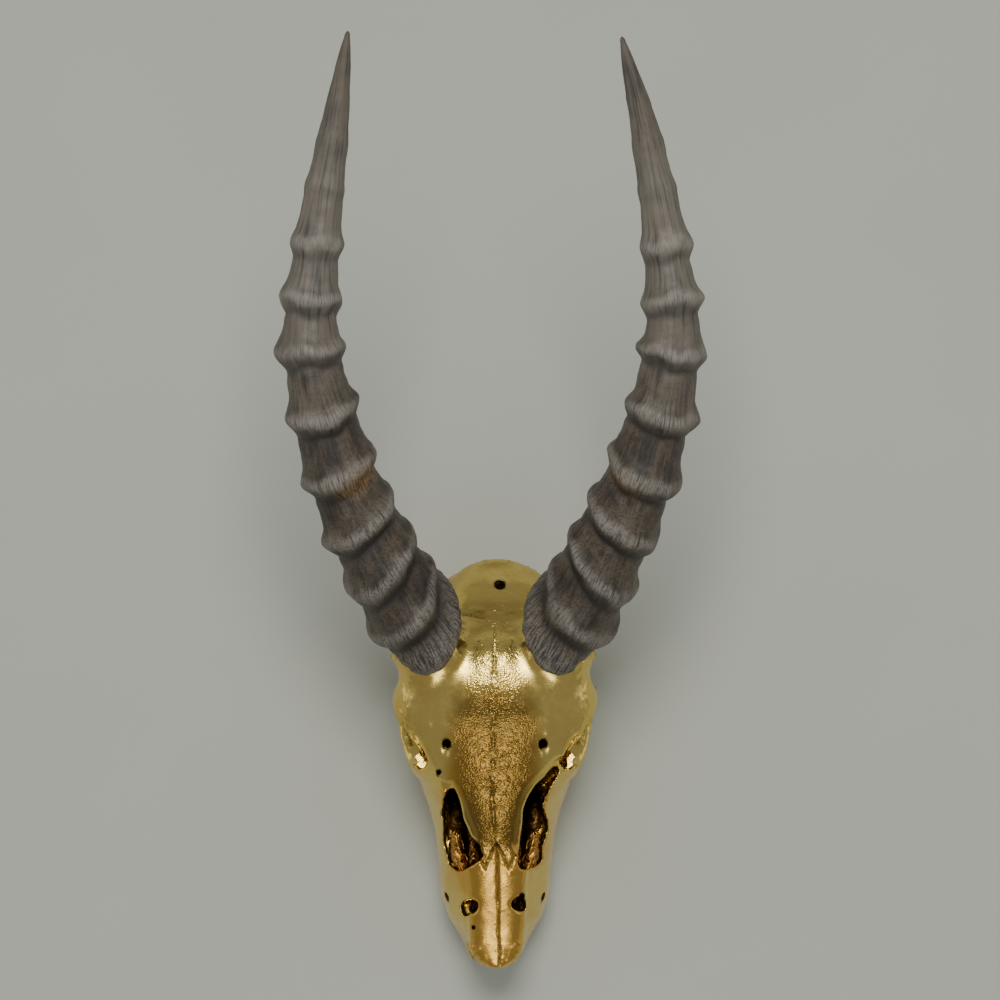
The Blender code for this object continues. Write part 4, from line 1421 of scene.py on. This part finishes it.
@dataclass
class Horn:
    """One horn sheath with its rings, fibres and frayed foot."""

    side: Side
    route: Sequence[Point]
    stuff: HornStuff = HornStuff()
    length: float = 380.0
    foot_radius: float = 24.7
    taper: float = 0.59
    tip_radius: float = 1.6
    ring_stations: tuple[float, ...] = (0, 26, 55, 88, 122, 157, 194, 224, 256)
    ring_heights: tuple[float, ...] = (7.0, 4.5, 4.8, 5.0, 5.1, 5.5, 5.6, 5.0, 3.4)
    slants: tuple[tuple[float, float, float, float], ...] = (
        (0, 1.5, 19.5, 6.0), (26, 0.0, 5.5, 12.5), (55, 0.0, 2.0, 10.0), (88, 0.0, 4.2, 5.5),
        (122, 0.0, 3.0, 3.5), (160, 0.0, 1.5, 1.5), (205, 0.0, 0.0, 0.0),
    )
    stain_station: float = 122.0
    outer_cut: float = 4.0
    around: int = 216
    along: int = 400

    def frames(self, stations: np.ndarray) -> tuple[np.ndarray, np.ndarray, np.ndarray, np.ndarray]:
        """Find the middle line and its directions.

        Args:
            stations: Places along the horn in millimetres.

        Returns:
            Centres, directions along, sideways directions and front directions.
        """
        count = 800
        samples = np.array([route_point(self.route, k / count) for k in range(count + 1)])
        runs = np.linalg.norm(np.diff(samples, axis=0), axis=1)
        lengths = np.concatenate([[0.0], np.cumsum(runs)])
        goal = np.clip(stations / self.length, 0.0, 1.0) * lengths[-1]
        centre = np.stack([np.interp(goal, lengths, samples[:, k]) for k in range(3)], axis=1)
        reach = lengths[-1] / self.length * 5.0
        ahead = np.clip(goal + reach, 0.0, lengths[-1])
        behind = np.clip(goal - reach, 0.0, lengths[-1])
        along = np.stack([
            np.interp(ahead, lengths, samples[:, k]) - np.interp(behind, lengths, samples[:, k])
            for k in range(3)
        ], axis=1)
        along /= np.linalg.norm(along, axis=1)[:, None]
        front = np.tile(np.array([0.0, -0.16, 0.99]), (len(stations), 1))
        front -= along * np.sum(front * along, axis=1)[:, None]
        front /= np.linalg.norm(front, axis=1)[:, None]
        return centre, along, np.cross(along, front), front

    def shaft(self, stations: np.ndarray) -> np.ndarray:
        """Give the radius between the rings."""
        left = np.clip(1.0 - stations / self.length, 0.0, 1.0)
        return np.maximum(self.foot_radius * left ** self.taper, self.tip_radius)

    def ring(self, gap: np.ndarray) -> np.ndarray:
        """Give the outline of one ring: steep towards the foot, long towards the tip."""
        foot = smooth_step(-8.5, 1.5, gap)
        tip = 0.74 * np.exp(-(np.maximum(gap - 1.0, 0.0) / 6.6) ** 2.0)
        tip += 0.26 * np.exp(-(np.maximum(gap - 1.0, 0.0) / 12.5) ** 2.0)
        dip = -0.08 * bell(gap + 8.6, 3.2)
        return foot * tip + dip

    def foot_roll(self, station: np.ndarray) -> np.ndarray:
        """Give the outline of the thick roll at the foot, which turns in at its edge."""
        return bell(station - 7.5, 8.5) - 0.75 * (1.0 - smooth_step(0.0, 4.5, station))

    def build(self) -> bpy.types.Object:
        """Make the sheath from a fine grid rolled round the middle line.

        Returns:
            The finished piece.
        """
        work = bmesh.new()
        names = ("groove", "crest", "rim", "stained", "low", "tip", "foot")
        layers = {name: work.verts.layers.float.new(name) for name in names}
        fibre = work.verts.layers.float_vector.new("fibre")
        made = bmesh.ops.create_grid(
            work, x_segments=self.around, y_segments=self.along, size=0.5,
        )
        flat = np.array([vertex.co[:2] for vertex in made["verts"]]) + 0.5
        places, marks = self.surface(flat[:, 0] * math.tau, flat[:, 1] * self.length)
        for vertex, place in zip(made["verts"], places):
            vertex.co = at(place)
        for k, vertex in enumerate(made["verts"]):
            for name, layer in layers.items():
                vertex[layer] = float(marks[name][k])
            vertex[fibre] = Vector(marks["fibre"][k])
        bmesh.ops.remove_doubles(work, verts=work.verts, dist=1e-6)
        close_ends(work)
        bmesh.ops.recalc_face_normals(work, faces=work.faces)
        horn = handed_over(work, "horn_sheath_" + self.side.word)
        dress(horn, self.stuff.make("horn_" + self.side.word))
        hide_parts("horn_" + self.side.word)
        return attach(horn, "root")

    def surface(
        self, angle: np.ndarray, station: np.ndarray,
    ) -> tuple[np.ndarray, dict[str, np.ndarray]]:
        """Work out the skin of the sheath.

        Args:
            angle: Angle round the horn of each point, in radians.
            station: Place along the horn of each point, in millimetres.

        Returns:
            The places, and the named marks that the finish reads.
        """
        levels, which = np.unique(np.round(station, 4), return_inverse=True)
        centre, along, side, front = (part[which] for part in self.frames(levels))
        c, s = np.cos(angle), np.sin(angle)
        sway = np.stack([c * 14.0, s * 14.0, station * 0.35], axis=1)
        sway = roughness_of(sway, 12.0, self.seed + 3.0, 2)
        marks = self.marks(angle, station, sway)
        height = self.rings(angle, station, sway) + self.roughness(angle, station, marks)
        height += sway * 0.7 * self.fade(station)
        end = smooth_step(self.length - 2.5, self.length, station)
        radius = (self.shaft(station) + height) * np.sqrt(np.clip(1.0 - end, 0.0, 1.0))
        rows = np.array(self.slants).T
        shift, lead, tilt = (np.interp(station, rows[0], row) for row in rows[1:])
        slant = shift * (1.0 + 0.7 * c * c) - lead * s - tilt * c * self.side.value
        places = centre + side * (c * radius)[:, None] + front * (s * radius)[:, None]
        return places + along * slant[:, None], marks

    @property
    def seed(self) -> float:
        """Give the offset that makes the two horns differ."""
        return 10.0 + 5.0 * self.side.value

    def fade(self, station: np.ndarray) -> np.ndarray:
        """Let the unevenness run out towards the tip."""
        return smooth_step(0.0, 40.0, self.length - station)

    def gaps(self, station: np.ndarray, sway: np.ndarray) -> list[np.ndarray]:
        """Measure how far points are past each ring, which wanders a little but at the foot."""
        return [
            station - place - (sway * 3.2 if place > 0.0 else 0.0) for place in self.ring_stations
        ]

    def rings(self, angle: np.ndarray, station: np.ndarray, sway: np.ndarray) -> np.ndarray:
        """Give the height of the rings, strongest on the outer side of the horn.

        Args:
            angle: Angle round the horn, in radians.
            station: Place along the horn, in millimetres.
            sway: How far the rings wander there.

        Returns:
            The height over the shaft in millimetres.
        """
        s, outwards = np.sin(angle), np.cos(angle) * self.side.value
        strength = 0.88 - 0.06 * s + 0.12 * outwards
        outer = np.clip(outwards, 0.0, 1.0)
        height = -outer * bell(station - 2.0, 11.0) * self.outer_cut
        for k, (gap, rise) in enumerate(zip(self.gaps(station, sway), self.ring_heights)):
            shape = self.ring(gap) if k else self.foot_roll(gap) * (1.0 - outer)
            height += rise * strength * shape * (1.0 + 0.16 * np.sin(angle * (3 + k % 3) + k * 1.7))
        return height + bell(station - 290.0, 5.0) * strength + 0.5 * bell(station - 316.0, 7.0)

    def roughness(
        self, angle: np.ndarray, station: np.ndarray, marks: dict[str, np.ndarray],
    ) -> np.ndarray:
        """Give the height of the fibres, the uneven bands and the knobs at the foot.

        Args:
            angle: Angle round the horn, in radians.
            station: Place along the horn, in millimetres.
            marks: The named marks of the same points.

        Returns:
            The height in millimetres.
        """
        c, s, low = np.cos(angle), np.sin(angle), marks["low"]
        bands = np.stack([c * 9.0, s * 9.0, station], axis=1)
        knobs = np.stack([c * 26.0, s * 26.0, station], axis=1)
        fibres = roughness_of(marks["fibre"] / MM, 3.6, self.seed, 3)
        fibres *= (0.05 + 0.16 * marks["high"] + 0.08 * marks["groove"]) * (0.3 + 0.7 * low)
        uneven = roughness_of(bands, 7.0, self.seed + 21.0, 2) * (0.25 + 0.45 * low)
        fray = 1.0 - smooth_step(4.0, 24.0, station)
        fray *= roughness_of(knobs, 5.0, self.seed + 9.0, 3) * 0.8
        return (fibres + uneven) * self.fade(station) + fray

    def marks(
        self, angle: np.ndarray, station: np.ndarray, sway: np.ndarray,
    ) -> dict[str, np.ndarray]:
        """Work out the named marks that the finish reads.

        Args:
            angle: Angle round the horn, in radians.
            station: Place along the horn, in millimetres.
            sway: How far the rings wander there.

        Returns:
            One array for each mark; "high" stays here and is not stored.
        """
        c, s, lean = np.cos(angle), np.sin(angle), self.side.value
        gaps = self.gaps(station, sway)
        high = np.maximum.reduce([bell(gap - 2.0, 4.5) for gap in gaps])
        sunk = np.maximum.reduce([bell(gap + 6.8, 2.6) for gap in gaps[1:]])
        stained = bell(station - self.stain_station + 5.0, 6.0) * (1.0 if lean < 0 else 0.3)
        return {
            "high": high,
            # painted shadow in the grooves under the rings, strongest on the upward side
            "groove": sunk * np.clip(0.7 + 0.3 * s, 0.0, 1.0),
            # ring crests, paler on the upward side: partly wear, partly painted highlight
            "crest": high * (0.6 + 0.4 * s),
            "rim": 1.0 - smooth_step(1.0, 5.0, station + sway * 3.0),
            "low": 1.0 - smooth_step(60.0, 300.0, station),
            "foot": bell(station - 9.0, 7.0),
            # painted light: paler towards the tip
            "tip": smooth_step(120.0, 260.0, station)
            * (1.0 - 0.5 * smooth_step(290.0, 360.0, station)),
            "stained": stained * smooth_step(0.1, 0.9, -c * lean * 0.7 + s * 0.6),
            "fibre": np.stack([c * 26.0, s * 26.0, station * 0.10], axis=1) * MM,
        }


@dataclass
class CheekTooth:
    """One upper cheek tooth with ribs outside and crescent pits on its chewing face."""

    side: Side
    name: str
    length: float
    width: float
    x: float
    y: float
    paint: ToothPaint = ToothPaint()
    gap: float = 0.4
    gum_line: float = 12.5
    root_depth: float = 9.0
    voxel: float = 0.55

    @property
    def lobes(self) -> float:
        """Tell how deep the folds are: molars have two lobes, the others hardly any."""
        return 1.0 if self.name.startswith("m") else 0.4

    def outline(self, length: float, width: float, z: float) -> list[Point]:
        """Give one level of the tooth: ribbed outside, lobed inside."""
        fold = self.lobes
        half = (
            (-0.5, -0.30), (-0.5, 0.30), (-0.44, 0.47), (-0.36, 0.40), (-0.25, 0.46),
            (-0.13, 0.40), (0.0, 0.5 - 0.03 * fold), (0.10, 0.40), (0.25, 0.45), (0.38, 0.38),
            (0.47, 0.45), (0.5, 0.28), (0.5, -0.30), (0.38, -0.46), (0.22, -0.5),
            (0.07, -0.42), (0.0, -0.5 + 0.16 * fold), (-0.07, -0.42), (-0.22, -0.5),
            (-0.38, -0.46),
        )
        s = self.side.value
        smooth = rounded([(across * width, along * length) for along, across in half], 3)
        return [(s * (self.x + point.x), self.y + point.y, z) for point in smooth]

    def levels(self, grow: float = 0.0, lowest: float = 0.0) -> list[list[Point]]:
        """List the levels of the tooth from its chewing face up into the bone.

        Args:
            grow: Clearance added all round.
            lowest: Levels below this height are left out.

        Returns:
            One outline for each level.
        """
        long = self.length - self.gap
        top = self.gum_line + self.root_depth
        rows = (
            (0.0, 0.95, 1.0), (4.0, 1.0, 1.0), (self.gum_line - 2.0, 0.97, 0.96),
            (self.gum_line + 1.0, 0.84, 0.86), (top + grow, 0.67, 0.69),
        )
        return [
            self.outline(long * stretch + grow * 2.0, self.width * widen + grow * 2.0, z)
            for z, stretch, widen in rows if z >= lowest
        ]

    def build(self) -> bpy.types.Object:
        """Make the tooth.

        Returns:
            The finished piece.
        """
        forms = Forms()
        forms.skin(self.levels())
        label = "crown_" + self.side.word + "_" + self.name
        carving = Carving(forms.finished(label))
        carving.fuse(self.voxel)
        carving.soften(2)
        tooth = carving.settle()
        clay = Clay(tooth)
        chewed, pit = self.chewing_face(clay)
        clay.write()
        clay.paint("chewed", chewed)
        clay.paint("pit", pit)
        dress(tooth, self.paint.make("gold_" + self.side.word + "_" + self.name))
        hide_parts("tooth_" + self.side.word + "_" + self.name)
        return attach(tooth, "root")

    def chewing_face(self, clay: Clay) -> tuple[np.ndarray, np.ndarray]:
        """Shape the enamel ridges and crescent pits.

        Args:
            clay: The points of the tooth, which are moved.

        Returns:
            How chewed and how pitted each point is.
        """
        x, y, z = clay.places.T
        across = (x * self.side.value - self.x) / self.width
        along = (y - self.y) / self.length
        low = 1.0 - smooth_step(1.2, 2.6, z)
        down = smooth_step(0.3, 0.8, -clay.normals[:, 2]) * low
        lobes = 2 if self.lobes == 1.0 else 1
        pit = np.zeros(len(z))
        for k in range(lobes):
            middle = (k - (lobes - 1) / 2.0) * 0.46
            bow = (along - middle) / (0.24 if lobes == 2 else 0.34)
            curve = across - 0.14 + 0.22 * (1.0 - bow * bow)
            inside = 1.0 - smooth_step(0.75, 1.05, np.abs(bow))
            pit = np.maximum(pit, bell(curve - 0.06, 0.05) * inside)
        edge = np.maximum(np.abs(across), np.abs(along))
        rise = down * (1.6 * pit + 0.7 * (1.0 - smooth_step(0.30, 0.44, edge)) * (1.0 - pit))
        clay.places[:, 2] = np.maximum(z + rise, 0.0)
        grooves = 0.12 * roughness_of(np.stack([x, y, z * 0.25], axis=1), 1.6, 4.0, 2)
        clay.push(grooves * smooth_step(1.0, 3.0, z))
        return down, pit * down


@dataclass(frozen=True)
class Softbox:
    """One soft light that faces the skull.

    The azimuth is in degrees round from the front, positive to the right, and the
    elevation in degrees above the floor. Lengths are in metres and the power in watts.
    """

    name: str
    azimuth: float
    elevation: float
    width: float
    height: float
    power: float
    tint: Colour = (1.0, 0.98, 0.95)
    distance: float = 1.7

    def hang(self, aim: Vector) -> None:
        """Hang the light so that it faces a place in metres."""
        data = bpy.data.lights.new(self.name, "AREA")
        data.shape = "ELLIPSE"
        data.size = self.width
        data.size_y = self.height
        data.energy = self.power
        data.color = self.tint
        light = linked(self.name, data)
        a, e = math.radians(self.azimuth), math.radians(self.elevation)
        away = Vector((math.sin(a) * math.cos(e), -math.cos(a) * math.cos(e), math.sin(e)))
        light.location = aim + away * self.distance
        light.rotation_mode = "QUATERNION"
        light.rotation_quaternion = (-away).to_track_quat("-Z", "Y")


@dataclass
class Studio:
    """The pale floor, the soft lights and the camera above the skull."""

    aim: Point = (5.1, 25.9, 110.0)
    distance: float = 1600.0
    elevation: float = 78.0
    view_angle: float = 21.93
    floor_half: float = 4000.0
    floor: FloorPaint = FloorPaint()
    sky: Colour = (0.82, 0.84, 0.86)
    sky_strength: float = 0.37
    softboxes: tuple[Softbox, ...] = (
        Softbox("key", 180.0, 77.0, 0.75, 0.75, 18.0),
        Softbox("front", 0.0, 44.0, 1.15, 0.36, 4.2),
        Softbox("left", -90.0, 14.0, 1.2, 1.2, 2.5),
        Softbox("right", 90.0, 14.0, 1.2, 1.2, 2.5),
    )

    def back(self) -> Vector:
        """Give the direction from the aim to the camera."""
        turn = math.radians(self.elevation)
        return Vector((0.0, -math.cos(turn), math.sin(turn)))

    def build(self) -> None:
        """Set up everything round the skull."""
        self.lay_floor()
        self.place_camera()
        self.light()

    def lay_floor(self) -> None:
        """Lay the floor that the skull rests on."""
        work = bmesh.new()
        bmesh.ops.create_grid(work, x_segments=4, y_segments=4, size=self.floor_half * MM)
        floor = handed_over(work, "floor")
        floor.data.materials.append(self.floor.make("floor"))

    def place_camera(self) -> None:
        """Look down on the skull from the front, as a wall piece is seen."""
        data = bpy.data.cameras.new("camera")
        data.angle = math.radians(self.view_angle)
        camera = linked("camera", data)
        camera.location = (Vector(self.aim) + self.back() * self.distance) * MM
        camera.rotation_mode = "QUATERNION"
        camera.rotation_quaternion = (-self.back()).to_track_quat("-Z", "Y")
        bpy.context.scene.camera = camera

    def light(self) -> None:
        """Light the skull with a dim sky and soft lights."""
        world = bpy.data.worlds.new("sky")
        world.use_nodes = True
        shader = world.node_tree.nodes["Background"]
        shader.inputs["Color"].default_value = (*self.sky, 1.0)
        shader.inputs["Strength"].default_value = self.sky_strength
        bpy.context.scene.world = world
        for softbox in self.softboxes:
            softbox.hang(Vector(self.aim) * MM)


def cheek_teeth() -> list[CheekTooth]:
    """List the twelve upper cheek teeth from front to back.

    Returns:
        Six teeth for each side.
    """
    rows = (
        ("p2", 9.5, 9.0, 25.5, -113.0), ("p3", 12.0, 11.5, 27.0, -102.0),
        ("p4", 12.5, 13.5, 28.5, -89.5), ("m1", 16.5, 15.0, 29.5, -74.8),
        ("m2", 18.5, 15.5, 30.0, MOLAR_ROW_Y), ("m3", 19.0, 14.5, 30.0, -38.0),
    )
    return [CheekTooth(side, *row) for side in Side for row in rows]


def horns() -> list[Horn]:
    """List the two horns with their middle lines, which differ a little."""
    left = (
        (-45, 40, 120), (-67, 75, 156), (-91, 124, 193), (-106, 186, 226), (-102.5, 244, 249),
        (-92.5, 301, 272), (-83, 355, 300),
    )
    right = (
        (42, 40, 120), (63.5, 75, 156), (87.5, 125, 194), (102.5, 186, 226), (98.5, 244, 249),
        (87, 301, 272), (72, 352, 299),
    )
    return [Horn(Side.LEFT, left), Horn(Side.RIGHT, right)]


def report(piece: bpy.types.Object) -> None:
    """Log one piece and how many triangles it has."""
    count = sum(len(face.vertices) - 2 for face in piece.data.polygons)
    LOG.info("%s: %d triangles", piece.name, count)


def main() -> None:
    """Build the skull and its studio in order."""
    logging.basicConfig(level=logging.INFO, format="%(name)s: %(message)s")
    noise.seed_set(NOISE_SEED)
    teeth = cheek_teeth()
    report(SkullBone().build(teeth))
    report(NoseScrolls().build())
    for tooth in teeth:
        report(tooth.build())
    for horn in horns():
        report(horn.build())
    Studio().build()


if __name__ == "__main__":
    main()
